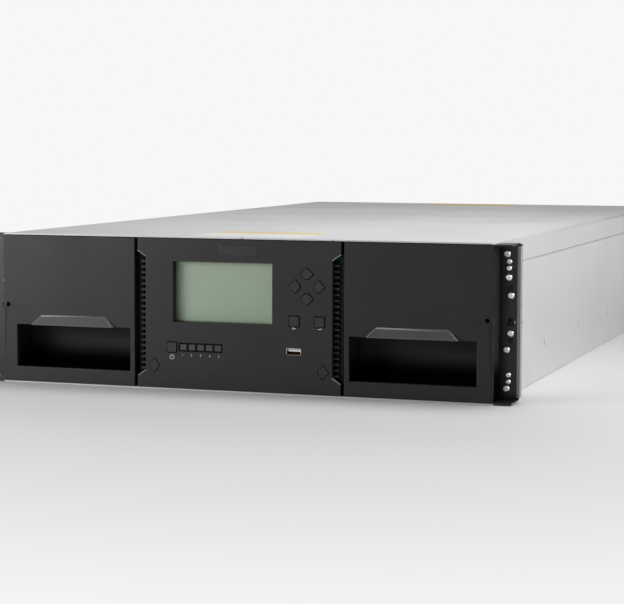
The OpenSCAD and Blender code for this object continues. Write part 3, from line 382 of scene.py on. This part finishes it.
# the painted highlight on the right ear's outer edge
EAR_HIGHLIGHT_WIDTH = 2.6 * MM
EAR_HIGHLIGHT_LOW, EAR_HIGHLIGHT_HIGH = 4 * MM, 129.5 * MM
WALL_SCREWS = 6 * MM  # behind the ears' plates: from here on a screw holds the ear to the wall
POCKET_DEPTH = 4 * MM  # behind the panel's face: where the pull pockets count as inside
POCKET_SHADE_FULL, POCKET_SHADE_END = 20 * MM, 40 * MM  # heights between which the painted shade on the pockets' floor fades out
LIP_START, LIP_END = 10 * MM, 0.15 * MM  # ahead of the panel's face
LAMP_SHADE_MARGIN = 1.4 * MM  # painted shade in the recess round the lamp windows
LAMP_RECESS = (0.1 * MM, 3 * MM)  # behind the panel's face
NOTCH_HIGHLIGHT_DEPTH = 2.5 * MM  # behind the panel's face: how deep the painted highlight on a vent notch's edge reaches
SLANTED = 0.12  # product of a direction's X and Z parts above which a face counts as slanted
PORT_INSIDE, PORT_DEEP = 0.9 * MM, 1.9 * MM  # behind the panel's face
PORT_FOOT_SHADE, PORT_TONGUE = (-10 * MM, -1.3 * MM), (0.1 * MM, 2.1 * MM)  # from the port's middle; the first pair spans the port's lower part, in painted shade


def cover_paint():
    """Pale powder coat: painted highlights along the beads and blank stickers on top, and painted
    shade on the side flange ahead of the ears' plates."""
    material = painted_sheet("cover paint", *PALE_COAT)
    tree = material.node_tree
    place = object_place(tree)
    top = maths(tree, "GREATER_THAN", facing(tree)["Z"], 0.7)
    front, back = PANEL_FACE / MM, COVER_HIGH.y / MM
    patches = [  # left, right, near and far edge in mm, and the colour
        # painted highlights along the beads; the rest are blank stickers
        (-208.5, -112.5, front + 634, front + 643, BEAD_HIGHLIGHT),
        (95.5, 204.5, front + 634, front + 643, BEAD_HIGHLIGHT),
        (-51, 50, front + 20, front + 104, STICKER_WHITE),
        (-50, 49, front + 72, front + 100, STICKER_AMBER),
        (-56, 48, back - 66, back - 10, STICKER_AMBER),
    ]
    for left, right, near, far, colour in patches:
        mask = overlap(tree, top, in_range(tree, place, "X", left * MM, right * MM),
                       in_range(tree, place, "Y", near * MM, far * MM))
        repaint(material, mask, colour)
    # painted shade on the side flange, in the gap between bezel and ear
    below_top = maths(tree, "LESS_THAN", parts(tree, place)["Z"], COVER_HIGH.z - FLANGE_TOP)
    return repaint(material, overlap(tree, ahead_of_ears(tree, place), below_top), PAINTED_SHADE_COAT)


def wall_paint():
    """Chassis paint, with painted shade at the front end that shows between the bezel and the ear.
    """
    material = painted_sheet("wall paint", *PALE_COAT)
    tree = material.node_tree
    return repaint(material, ahead_of_ears(tree, object_place(tree)), PAINTED_SHADE_COAT)


def display_face():
    """Unlit display behind its glass: pale grey green, darker towards its rim in painted shade of
    its recess.
    """
    material, tree, shader = surface("display face", coat=1.0, coat_roughness=0.03, specular=0.4)
    low, high = span("display_glass")
    place = object_place(tree)
    rim_shades = []
    # painted shade of the recessed window towards the display's rim
    for axis, start, end in (("X", low.x, high.x), ("Z", low.z, high.z)):
        off = from_middle(tree, place, axis, start, end)
        rim_shades.append(ramp(tree, off, *((end - start) / 2 - inset for inset in DISPLAY_RIM_SHADE)))
    climb = ramp(tree, parts(tree, place)["Z"], low.z, high.z)
    field = blend_colour(tree, climb, (0.285, 0.388, 0.265, 1), (0.30, 0.388, 0.275, 1))
    rim_shaded = blend_colour(tree, maths(tree, "MAXIMUM", *rim_shades), field, (0.16, 0.19, 0.10, 1))
    cloud = maths(tree, "MULTIPLY", ramp(tree, noise(tree, place, 45.0, 2.0), 0.3, 0.7), 0.12)
    feed(tree, shader.inputs["Base Color"],
         blend_colour(tree, cloud, rim_shaded, (0.38, 0.43, 0.36, 1)))
    lay_gloss(tree, shader, 0.42, 0.05, 30.0)
    return material


def smoked_window():
    """Dark windows of the lamps, none of them lit."""
    material, tree, shader = surface("smoked window", coat=0.4, coat_roughness=0.2)
    tone = use_group(tree, MOTTLE, Colour=(0.024, 0.025, 0.024, 1),
                     Second=(0.020, 0.021, 0.020, 1), Scale=120.0)
    feed(tree, shader.inputs["Base Color"], tone["Colour"])
    lay_gloss(tree, shader, 0.38, 0.08, 80.0)
    return material


def ink_and_painted_highlight(name, colour):
    """Ink, and the painted highlight of the vent edges, with darker specks of wear."""
    material, tree, shader = surface(name)
    specks = ramp(tree, noise(tree, object_place(tree), 1800.0, 3.0), 0.35, 0.75)
    wear_and_highlight = blend_colour(tree, maths(tree, "MULTIPLY", specks, 0.3),
                        rgba(colour), rgba([c * 0.7 for c in colour]))
    feed(tree, shader.inputs["Base Color"], wear_and_highlight)
    lay_gloss(tree, shader, 0.55, 0.1, 40.0)
    return material


def circuit_laminate():
    """Solder mask over copper runs on a square grid."""
    material, tree, shader = surface("circuit laminate", coat=0.3)
    runs = add(tree, "ShaderNodeTexBrick", {"offset": 0.35}, Vector=object_place(tree),
               Scale=240.0, Color1=(0.012, 0.10, 0.035, 1), Color2=(0.010, 0.085, 0.03, 1),
               Mortar=(0.02, 0.16, 0.06, 1))
    feed(tree, shader.inputs["Base Color"], runs.outputs["Color"])
    lay_gloss(tree, shader, 0.35, 0.1, 50.0)
    raise_bump(tree, shader, runs.outputs["Fac"], 0.00004)
    return material


def ear_paint():
    """Black powder coat, with painted shade behind the plate and in its holes; the right ear's
    outer edge carries a painted highlight, where its black paint catches the light."""
    material = painted_sheet("ear paint", (0.018, 0.018, 0.019), (0.014, 0.014, 0.015),
                             0.3, 700.0, 0.00003)
    tree = material.node_tree
    place = object_place(tree)
    # painted shade: the flange behind the plate black and without gloss
    paint_shade(material, behind(tree, place, EAR_PLATE_BACK - 0.5 * MM), 0.003)
    # painted shade in the ear's holes
    for x, z, radius in EAR_HOLES:
        paint_shade(material, round_spot(tree, place, x, z, radius), 0.003)
    # painted highlight: the right ear's outer edge pale, where its black paint catches the light
    outer_highlight = overlap(
        tree,
        maths(tree, "GREATER_THAN", parts(tree, place)["X"], EAR_HIGH.x - EAR_HIGHLIGHT_WIDTH),
        in_range(tree, place, "Z", EAR_HIGHLIGHT_LOW, EAR_HIGHLIGHT_HIGH),
        maths(tree, "GREATER_THAN", facing(tree)["X"], -0.5))
    return repaint(material, outer_highlight, (0.36, 0.36, 0.37), 0.4, 0.0)


def ear_zinc():
    """Zinc plate on the screws of the ear's face, blackened on those behind it."""
    material = bare_metal("ear zinc", *ZINC_PLATE)
    tree = material.node_tree
    deep = behind(tree, object_place(tree), EAR_PLATE_BACK + WALL_SCREWS)
    return repaint(material, deep, grey(0.006), 0.7)


def bezel_plastic():
    """Spark-eroded black plastic: painted shade inside the pull pockets, blackest near their
    floor;
    the lips that stand ahead of the panel carry painted light, with painted highlights on their
    edges."""
    material = moulded_plastic("bezel plastic", *BLACK_PLASTIC, specular=0.32)
    tree = material.node_tree
    place = object_place(tree)
    # painted shade: the pull pockets darker and duller inside
    deep = behind(tree, place, PANEL_FACE + POCKET_DEPTH)
    repaint(material, deep, grey(0.013), 0.7)
    # painted shade: black towards the pockets' floor, fading out upwards
    climb = ramp(tree, parts(tree, place)["Z"], POCKET_SHADE_FULL, POCKET_SHADE_END)
    paint_shade(material, overlap(tree, deep, maths(tree, "SUBTRACT", 1.0, climb)), 0.002)
    # painted light: the lips paler, as their faces tilt up towards the light
    lip = in_range(tree, place, "Y", PANEL_FACE - LIP_START, PANEL_FACE - LIP_END)
    repaint(material, lip, LIP_PAINTED_LIGHT)
    # painted highlight on the lips' top and side edges
    normal = facing(tree)
    edge = maths(tree, "MAXIMUM", maths(tree, "GREATER_THAN", normal["X"], 0.35),
                 maths(tree, "GREATER_THAN", normal["Z"], 0.45))
    return repaint(material, overlap(tree, edge, lip), EDGE_HIGHLIGHT)


def shell_plastic():
    """The panel's plastic: painted shade in the recess round the lamp windows, painted highlights
    on the slants of the vents.
    """
    material = moulded_plastic("shell plastic", *BLACK_PLASTIC, specular=0.32)
    tree = material.node_tree
    place = object_place(tree)
    low, high = span("light_guides")
    # painted shade in the recess round the lamp windows
    lamp_shade = overlap(
        tree,
        in_range(tree, place, "X", low.x - LAMP_SHADE_MARGIN, high.x + LAMP_SHADE_MARGIN),
        in_range(tree, place, "Z", low.z - LAMP_SHADE_MARGIN, high.z + LAMP_SHADE_MARGIN),
        in_range(tree, place, "Y", *(PANEL_FACE + depth for depth in LAMP_RECESS)))
    paint_shade(material, lamp_shade, 0.016)
    # painted highlight on the chamfered slants of the vent notches
    normal = facing(tree)
    slant = overlap(tree, *(maths(tree, "ABSOLUTE", normal[axis]) for axis in "XZ"))
    across = maths(tree, "ABSOLUTE", parts(tree, place)["X"])
    edge = overlap(
        tree,
        maths(tree, "GREATER_THAN", slant, SLANTED),
        maths(tree, "GREATER_THAN", across, 0.8 * PANEL_HIGH.x),
        in_range(tree, place, "Y", PANEL_FACE - FACE_SLACK, PANEL_FACE + NOTCH_HIGHLIGHT_DEPTH))
    return repaint(material, edge, EDGE_HIGHLIGHT)


def port_metal():
    """Bright rim of the front port, dark gold inside from its contacts and painted shade, painted
    shade over its lower part, and a pale tongue.
    """
    material = bare_metal("port metal", *ZINC_PLATE)
    tree = material.node_tree
    place = object_place(tree)
    height = middle("usb_socket").z
    # dark gold inside: the gold of the contacts, darkened with painted shade
    repaint(material, behind(tree, place, PANEL_FACE + PORT_INSIDE), (0.16, 0.10, 0.035), 0.5)
    # painted shade: the port's lower part darker and browner
    shaded_foot = in_range(tree, place, "Z", *(height + off for off in PORT_FOOT_SHADE))
    repaint(material, shaded_foot, (0.30, 0.24, 0.15), 0.5)
    tongue = overlap(tree, behind(tree, place, PANEL_FACE + PORT_DEEP),
                     in_range(tree, place, "Z", *(height + off for off in PORT_TONGUE)))
    return repaint(material, tongue, (0.86, 0.86, 0.84), 0.35, 0.0)


FINISH = {
    "cover": cover_paint(),
    "chassis": painted_sheet("chassis paint", *PALE_COAT),
    "wall": wall_paint(),
    "ear": ear_paint(),
    "ear_zinc": ear_zinc(),
    "bezel": bezel_plastic(),
    "shell": shell_plastic(),
    "port": port_metal(),
    # painted highlight on the slanted ends of the vent notches
    "wear_and_highlight": ink_and_painted_highlight("painted edge highlight", (0.30, 0.30, 0.305)),
    # painted shade in the gaps round the keys and caps
    "gap_shade": bare_metal("painted gap shade", grey(0.003), grey(0.002), 0.8),
    "seam": painted_sheet("seam paint", (0.010, 0.010, 0.011), (0.007, 0.007, 0.008),
                          0.55, 700.0, 0.00003),
    "key": moulded_plastic("key plastic", (0.026, 0.026, 0.027), (0.022, 0.022, 0.023),
                           0.44, 3200.0, specular=0.32),
    "cap": moulded_plastic("cap plastic", (0.020, 0.020, 0.021), (0.017, 0.017, 0.018),
                           0.44, 3200.0, specular=0.32),
    "badge": moulded_plastic("badge plastic", (0.02, 0.02, 0.022), (0.016, 0.016, 0.018),
                             0.22, 3000.0, 0.00001),
    "display": display_face(),
    "window": smoked_window(),
    "ink": ink_and_painted_highlight("legend ink", (0.62, 0.62, 0.60)),
    "board": circuit_laminate(),
    "zinc": bare_metal("zinc plate", *ZINC_PLATE),
    "sheet": bare_metal("galvanised sheet", (0.56, 0.57, 0.58), (0.48, 0.49, 0.50),
                        0.34, 700.0, 0.05),
    "alloy": bare_metal("milled alloy", (0.62, 0.63, 0.65), (0.54, 0.55, 0.57),
                        0.3, 900.0, 0.03),
    "steel": bare_metal("ground steel", (0.60, 0.60, 0.60), (0.50, 0.50, 0.51),
                        0.2, 1200.0, 0.02),
    "brass": bare_metal("lock brass", (0.72, 0.55, 0.26), (0.62, 0.46, 0.20),
                        0.3, 800.0, 0.05),
    "module": bare_metal("module case", (0.50, 0.51, 0.53), (0.44, 0.45, 0.47),
                         0.36, 600.0, 0.04),
    "magazine": moulded_plastic("magazine plastic", (0.20, 0.22, 0.25), (0.17, 0.19, 0.22),
                                0.5, 1800.0, 0.00005, 0.1),
    "cartridge": moulded_plastic("cartridge plastic", (0.03, 0.033, 0.036),
                                 (0.024, 0.027, 0.03), 0.5, 1500.0, 0.00008),
    "guide": moulded_plastic("guide plastic", (0.06, 0.06, 0.062), (0.05, 0.05, 0.052),
                             0.4, 2200.0),
    "nylon": moulded_plastic("natural nylon", (0.66, 0.65, 0.58), (0.60, 0.59, 0.52),
                             0.45, 1500.0),
    "tray": moulded_plastic("tray plastic", (0.48, 0.22, 0.05), (0.42, 0.19, 0.045),
                            0.45, 1800.0),
    "fan": moulded_plastic("fan plastic", (0.03, 0.03, 0.032), (0.025, 0.025, 0.027),
                           0.4, 2000.0),
    "pull": moulded_plastic("pull plastic", (0.05, 0.20, 0.09), (0.04, 0.17, 0.075),
                            0.45, 2000.0),
}
KEYS = [name for name in NODES if name.startswith("button_")]
CAD_FINISH = {
    "cover": ["top_cover"],
    "chassis": ["bottom_pan"],
    "wall": sides("side_panel"),
    "ear": sides("rack_ear"),
    "bezel": sides("magazine_bezel"),
    "shell": ["control_panel_shell", "vent_grilles"],
    "key": KEYS,
    "cap": ["panel_screw_caps"],
    "badge": ["blank_badge"],
    "display": ["display_glass"],
    "window": ["light_guides"],
    "board": ["control_board"],
    "zinc": ["chassis_fasteners"],
    "ear_zinc": ["ear_screws"],
    "port": ["usb_socket"],
    "sheet": ["rear_panel", "drive_bay_frame", "bay_cover"],
    "seam": ["front_frame"],
    "alloy": ["elevator_frame", "picker_carriage", "gripper_slide"],
    "steel": ["lift_shaft_front", "lift_shaft_rear"] + sides("gripper_finger"),
    "brass": sides("magazine_lock"),
    "module": numbered("drive", "psu") + ["controller_module"],
    "magazine": sides("magazine_frame", "magazine_shelves"),
    "cartridge": sides("cartridges"),
    "guide": ["magazine_guides"],
    "nylon": ["lift_racks"],
    "tray": ["picker_turntable"],
    "fan": numbered("drive_fan", "psu_fan"),
    "pull": numbered("psu_handle"),
}
for finish, names in CAD_FINISH.items():
    for name in names:
        NODES[name].data.materials.clear()
        NODES[name].data.materials.append(FINISH[finish])


# ---------------------------------------------------------------- softened edges of CAD pieces

def soften(name, width):
    piece = NODES[name]
    weld = piece.modifiers.new("join corners", "WELD")
    weld.merge_threshold = 0.002 * MM
    bevel = piece.modifiers.new("soft edges", "BEVEL")
    bevel.width = width
    bevel.segments = 2
    bevel.limit_method = "ANGLE"
    bevel.angle_limit = math.radians(35)


EDGE_WIDTHS = {
    0.45 * MM: sides("magazine_bezel") + ["control_panel_shell"],
    0.3 * MM: sides("rack_ear") + numbered("drive", "psu")
    + ["blank_badge", "controller_module", "picker_turntable", "gripper_slide"],
    0.2 * MM: sides("side_panel") + KEYS
    + ["top_cover", "bottom_pan", "light_guides", "panel_screw_caps", "bay_cover"],
    0.4 * MM: sides("cartridges", "magazine_frame"),
}
for width, names in EDGE_WIDTHS.items():
    for name in names:
        soften(name, width)


# ---------------------------------------------------------------- modelling helpers

def start_clean():
    if bpy.context.object and bpy.context.object.mode != "OBJECT":
        bpy.ops.object.mode_set(mode="OBJECT")
    bpy.ops.object.select_all(action="DESELECT")


def take_up(piece):
    piece.select_set(True)
    bpy.context.view_layer.objects.active = piece


def settle(piece, name, finish, body):
    """Bakes a piece's place into its mesh, names it and ties it to its body."""
    start_clean()
    take_up(piece)
    bpy.ops.object.transform_apply(location=True, rotation=True, scale=True)
    piece.name = name
    piece.data.name = name
    piece.data.materials.clear()
    piece.data.materials.append(FINISH[finish])
    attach(piece, body)


def join_all(pieces):
    start_clean()
    for piece in pieces:
        piece.select_set(True)
    bpy.context.view_layer.objects.active = pieces[0]
    bpy.ops.object.join()
    return bpy.context.view_layer.objects.active


# ---------------------------------------------------------------- printed legends, painted gap shades and painted highlights

LAYER_T = 0.04 * MM  # how far the ink, the painted gap shades and the painted highlights stand out from the panel's face
ON_THE_FACE = (math.pi / 2, 0, 0)  # turns what is drawn flat to look forwards
VENT_WIDTH, VENT_SLOPE = 7.4 * MM, 5.1 * MM  # how far a notch's slanted end runs across and up
VENT_LOW, VENT_HIGH = 11.5 * MM, 120.2 * MM
# the painted highlights on the slanted ends of the vents
HIGHLIGHT_WIDTH, HIGHLIGHT_INSET = 0.6 * MM, 0.35 * MM
GAP_SHADE_OFFSET, GAP_SHADE_WIDTH = 0.3 * MM, 0.5 * MM  # the gap is between a key and its painted gap shade
SIGN_DROP = 8.5 * MM  # from the power key's middle down to its sign
SIGN_RADIUS, SIGN_GAP, SIGN_STROKE = 1.9 * MM, 1.9 * MM, 0.5 * MM
NUMBER_DROP, NUMBER_HEIGHT = 6.7 * MM, 3.0 * MM
LAMPS = 5
LAMP_SHARE = 5.8 / 8.1  # a lamp's width as a part of the lamps' pitch
ARROW_DROP, ARROW_LENGTH, ARROW_STROKE = 6.1 * MM, 3.4 * MM, 0.45 * MM
BARB_LENGTH, BARB_ANGLE = 1.7 * MM, math.radians(40)


def edit_all():
    bpy.ops.object.mode_set(mode="EDIT")
    bpy.ops.mesh.select_all(action="SELECT")


def delete_marked_faces():
    bpy.ops.object.mode_set(mode="EDIT")
    bpy.ops.mesh.select_mode(type="FACE")
    bpy.ops.mesh.delete(type="FACE")
    bpy.ops.mesh.select_all(action="SELECT")


def give_layer_height():
    """Raises the flat band in edit mode to the layer's height, its faces turned outwards."""
    bpy.ops.mesh.extrude_region_move(TRANSFORM_OT_translate={"value": (0, -LAYER_T, 0)})
    bpy.ops.mesh.select_all(action="SELECT")
    bpy.ops.mesh.normals_make_consistent(inside=False)
    bpy.ops.object.mode_set(mode="OBJECT")


def printed_text(words, x, z, height):
    start_clean()
    bpy.ops.object.text_add(location=(x, PANEL_FACE - LAYER_T, z), rotation=ON_THE_FACE)
    text = bpy.context.object.data
    text.body = words
    text.size = height
    text.align_x = "CENTER"
    text.align_y = "CENTER"
    text.extrude = LAYER_T * 0.8
    bpy.ops.object.convert(target="MESH")
    return bpy.context.object


def flat_bar(x, z, width, height, turn=0.0):
    start_clean()
    bpy.ops.mesh.primitive_cube_add(size=1, location=(x, PANEL_FACE - LAYER_T / 2, z),
                                    rotation=(0, turn, 0))
    bar = bpy.context.object
    bar.scale = (width, LAYER_T, height)
    bpy.ops.object.transform_apply(location=False, rotation=True, scale=True)
    return bar


def printed_arc(x, z, radius, thickness, gap):
    """A ring with a gap at its top: a circle drawn out to a band, cut and raised as ink."""
    start_clean()
    centre = (x, PANEL_FACE, z)
    inner, outer = radius - thickness / 2, radius + thickness / 2
    bpy.ops.mesh.primitive_circle_add(vertices=64, radius=inner, location=centre,
                                      rotation=ON_THE_FACE)
    ring = bpy.context.object
    edit_all()
    bpy.ops.mesh.extrude_region_move()
    bpy.ops.transform.resize(value=(outer / inner, 1, outer / inner), center_override=centre)
    bpy.ops.object.mode_set(mode="OBJECT")
    bpy.ops.object.transform_apply(location=True, rotation=True, scale=True)
    for face in ring.data.polygons:
        face.select = abs(face.center.x - x) < gap / 2 and face.center.z > z
    delete_marked_faces()
    give_layer_height()
    return ring


def key_gap_shade(node, side=0):
    """Painted shade of the gap round a key or cap: a dark line drawn from its own front face; side
    picks one of a pair.
    """
    start_clean()
    mesh = NODES[node].data.copy()
    line = bpy.data.objects.new(node + "_outline", mesh)
    bpy.context.scene.collection.objects.link(line)
    take_up(line)
    front = min(corner.co.y for corner in mesh.vertices)
    edit_all()
    bpy.ops.mesh.remove_doubles(threshold=0.001 * MM)
    bpy.ops.mesh.select_mode(type="FACE")
    bpy.ops.object.mode_set(mode="OBJECT")
    for face in mesh.polygons:
        in_front = abs(face.center.y - front) < 0.02 * MM
        face.select = not (in_front and face.center.x * side >= 0)
    delete_marked_faces()
    bpy.ops.mesh.dissolve_limited(angle_limit=0.01)
    bpy.ops.mesh.select_all(action="SELECT")
    bpy.ops.mesh.delete(type="ONLY_FACE")
    bpy.ops.object.mode_set(mode="OBJECT")
    low, high = (Vector([pick(corner.co[i] for corner in mesh.vertices) for i in range(3)])
                 for pick in (min, max))
    centre = (low + high) / 2
    size = min(high.x - low.x, high.z - low.z)
    gap_size = size + 2 * GAP_SHADE_OFFSET
    bpy.ops.object.mode_set(mode="EDIT")
    bpy.ops.mesh.select_mode(type="VERT")
    bpy.ops.mesh.select_all(action="SELECT")
    bpy.ops.transform.translate(value=(0, PANEL_FACE - front, 0))
    inner, outer = gap_size / size, (gap_size + 2 * GAP_SHADE_WIDTH) / gap_size
    bpy.ops.transform.resize(value=(inner, 1, inner), center_override=centre)
    bpy.ops.mesh.extrude_region_move()
    bpy.ops.transform.resize(value=(outer, 1, outer), center_override=centre)
    bpy.ops.mesh.select_all(action="SELECT")
    give_layer_height()
    return line


def slant_edges():
    """Painted highlights on the slanted ends of the vent notches, where their edges catch the
    light.
    """
    bars = []
    length = math.hypot(VENT_WIDTH, VENT_SLOPE)
    lean = math.atan2(VENT_SLOPE, VENT_WIDTH)
    for side in (-1, 1):
        for end, up in ((VENT_LOW, 1), (VENT_HIGH, -1)):
            x = side * (PANEL_HIGH.x - VENT_WIDTH / 2 - HIGHLIGHT_INSET * math.sin(lean))
            z = end + up * (VENT_SLOPE / 2 - HIGHLIGHT_INSET * math.cos(lean))
            bars.append(flat_bar(x, z, length, HIGHLIGHT_WIDTH, side * up * lean))
    settle(join_all(bars), "painted_highlight_edges", "wear_and_highlight", "chassis")


def panel_gap_shades():
    """Painted shade: dark lines round all keys and round both screw caps, for the gaps round them.
    """
    lines = [key_gap_shade(node) for node in KEYS]
    lines += [key_gap_shade("panel_screw_caps", side) for side in (-1, 1)]
    settle(join_all(lines), "key_gap_shades", "gap_shade", "chassis")


def panel_legends():
    """The power sign, the lamps' numbers, a left arrow under back, a return arrow under enter."""
    power, back, enter = (middle("button_" + key) for key in ("power", "back", "enter"))
    sign_z = power.z - SIGN_DROP
    pieces = [printed_arc(power.x, sign_z, SIGN_RADIUS, SIGN_STROKE, SIGN_GAP),
              flat_bar(power.x, sign_z + 1.4 * MM, SIGN_STROKE, 2.4 * MM)]
    lamp_low, lamp_high = span("light_guides")
    pitch = (lamp_high.x - lamp_low.x) / (LAMPS - 1 + LAMP_SHARE)
    for i in range(LAMPS):
        x = (lamp_low.x + lamp_high.x) / 2 + (i - (LAMPS - 1) // 2) * pitch
        pieces.append(printed_text(str(i + 1), x, power.z - NUMBER_DROP, NUMBER_HEIGHT))
    arrow_z = back.z - ARROW_DROP
    for x in (back.x, enter.x):
        pieces.append(flat_bar(x, arrow_z, ARROW_LENGTH, ARROW_STROKE))
    for up in (1, -1):
        pieces.append(flat_bar(back.x - 1.1 * MM, arrow_z + up * 0.55 * MM,
                                  BARB_LENGTH, ARROW_STROKE, -up * BARB_ANGLE))
    pieces.append(flat_bar(enter.x + 1.6 * MM, arrow_z + 0.8 * MM, ARROW_STROKE, 1.6 * MM))
    settle(join_all(pieces), "panel_legends", "ink", "chassis")


panel_legends()
panel_gap_shades()
slant_edges()


# ---------------------------------------------------------------- stage, light and camera

BACKDROP = (0.93, 0.93, 0.93, 1)
FLOOR_SIZE, FLOOR_GAP = 24, 0.2 * MM  # the gap keeps the floor just below the library
FADE_START, FADE_END = 0.45, 1.3  # metres from the middle where the floor turns into backdrop


def mix_shaders(tree, factor, first, second, result):
    mix = tree.nodes.new("ShaderNodeMixShader")
    for socket, value in zip(mix.inputs, (factor, first, second)):
        feed(tree, socket, value)
    feed(tree, result, mix.outputs[0])


def seen_through(tree, *rays):
    """1 for the kinds of ray that should meet the plain backdrop."""
    path = tree.nodes.new("ShaderNodeLightPath").outputs
    seen = path["Is Camera Ray"]
    for ray in rays:
        seen = maths(tree, "MAXIMUM", seen, path[ray])
    return seen


def lay_floor():
    """Pale floor: it keeps the shadow near the library and takes the backdrop's tone far off."""
    start_clean()
    bpy.ops.mesh.primitive_plane_add(size=FLOOR_SIZE, location=(0, 0, CAD_BOX[0][2] - FLOOR_GAP))
    floor = bpy.context.object
    floor.name = "floor"
    paint, tree, shader = surface("floor paint", specular=0.1)
    shader.inputs["Base Color"].default_value = rgba(grey(0.86))
    shader.inputs["Roughness"].default_value = 0.7
    floor.data.materials.append(paint)
    reach = add(tree, "ShaderNodeVectorMath", {"operation": "LENGTH"})
    feed(tree, reach.inputs[0], object_place(tree))
    far = overlap(tree, ramp(tree, reach.outputs["Value"], FADE_START, FADE_END),
                  seen_through(tree, "Is Glossy Ray", "Is Transmission Ray"))
    glow = add(tree, "ShaderNodeEmission", Color=BACKDROP, Strength=1.0)
    mix_shaders(tree, far, shader.outputs[0], glow.outputs[0],
                tree.nodes["Material Output"].inputs[0])


def hang_backdrop():
    """Pale backdrop for the camera; a much weaker, bluer one lights the library."""
    world = bpy.data.worlds.new("studio")
    bpy.context.scene.world = world
    world.use_nodes = True
    tree = world.node_tree
    tree.nodes.clear()
    light = add(tree, "ShaderNodeBackground", Color=(0.84, 0.845, 0.855, 1), Strength=0.10)
    backdrop = add(tree, "ShaderNodeBackground", Color=BACKDROP, Strength=1.0)
    mix_shaders(tree, seen_through(tree, "Is Transmission Ray"), light.outputs[0],
                backdrop.outputs[0], tree.nodes.new("ShaderNodeOutputWorld").inputs[0])


def softbox(name, place, aim, width, height, power):
    data = bpy.data.lights.new(name, "AREA")
    data.shape = "RECTANGLE"
    data.size = width
    data.size_y = height
    data.energy = power
    lamp = bpy.data.objects.new(name, data)
    bpy.context.scene.collection.objects.link(lamp)
    lamp.location = place
    lamp.rotation_euler = (Vector(aim) - Vector(place)).to_track_quat("-Z", "Y").to_euler()


def light_up():
    """One near lamp for the top, three for the front and the right side, one behind."""
    front = CAD_BOX[0][1]
    for name, place, aim, width, height, power in [
            ("near_top", (0.32, front + 0.20, 0.80), (0.16, front + 0.08, 0.13), 0.35, 0.35, 2.9),
            ("left_front", (-0.95, front - 1.05, 0.35), (-0.22, front, 0.06), 0.5, 0.5, 5.4),
            ("left_low", (-0.85, front - 0.55, 0.30), (-0.20, front, 0.06), 0.35, 0.45, 4.0),
            ("right_side", (1.35, front - 0.02, 0.62), (0.22, front + 0.12, 0.08), 0.7, 0.7, 7.6),
            ("rear_fill", (-0.6, -front + 1.1, 1.2), (0, -front, 0.08), 1.2, 0.8, 9.4)]:
        softbox(name, place, aim, width, height, power)


EYE = (586.6, -1534.6, 220.1)  # mm from the middle, from the panel's face and from the ground
YAW, PITCH, ROLL = (math.radians(angle) for angle in (19.696, 3.716, 0.108))
FOCAL_LENGTH, SENSOR_WIDTH = 111.47, 36
SHIFT = (0.0537, -0.0661)


def aim_camera():
    eye = Vector(EYE) * MM + Vector((0, PANEL_FACE, 0))
    ahead = Vector((-math.sin(YAW) * math.cos(PITCH), math.cos(YAW) * math.cos(PITCH),
                    -math.sin(PITCH)))
    level = Vector((math.cos(YAW), math.sin(YAW), 0))
    above = level.cross(ahead)
    right = level * math.cos(ROLL) + above * math.sin(ROLL)
    up = above * math.cos(ROLL) - level * math.sin(ROLL)
    data = bpy.data.cameras.new("camera")
    data.lens = FOCAL_LENGTH
    data.shift_x, data.shift_y = SHIFT
    data.sensor_width = SENSOR_WIDTH
    data.clip_end = 50
    camera = bpy.data.objects.new("camera", data)
    bpy.context.scene.collection.objects.link(camera)
    camera.matrix_world = Matrix((
        (right.x, up.x, -ahead.x, eye.x),
        (right.y, up.y, -ahead.y, eye.y),
        (right.z, up.z, -ahead.z, eye.z),
        (0, 0, 0, 1)))
    bpy.context.scene.camera = camera


lay_floor()
hang_backdrop()
light_up()
aim_camera()
bpy.context.scene.view_settings.view_transform = "Standard"
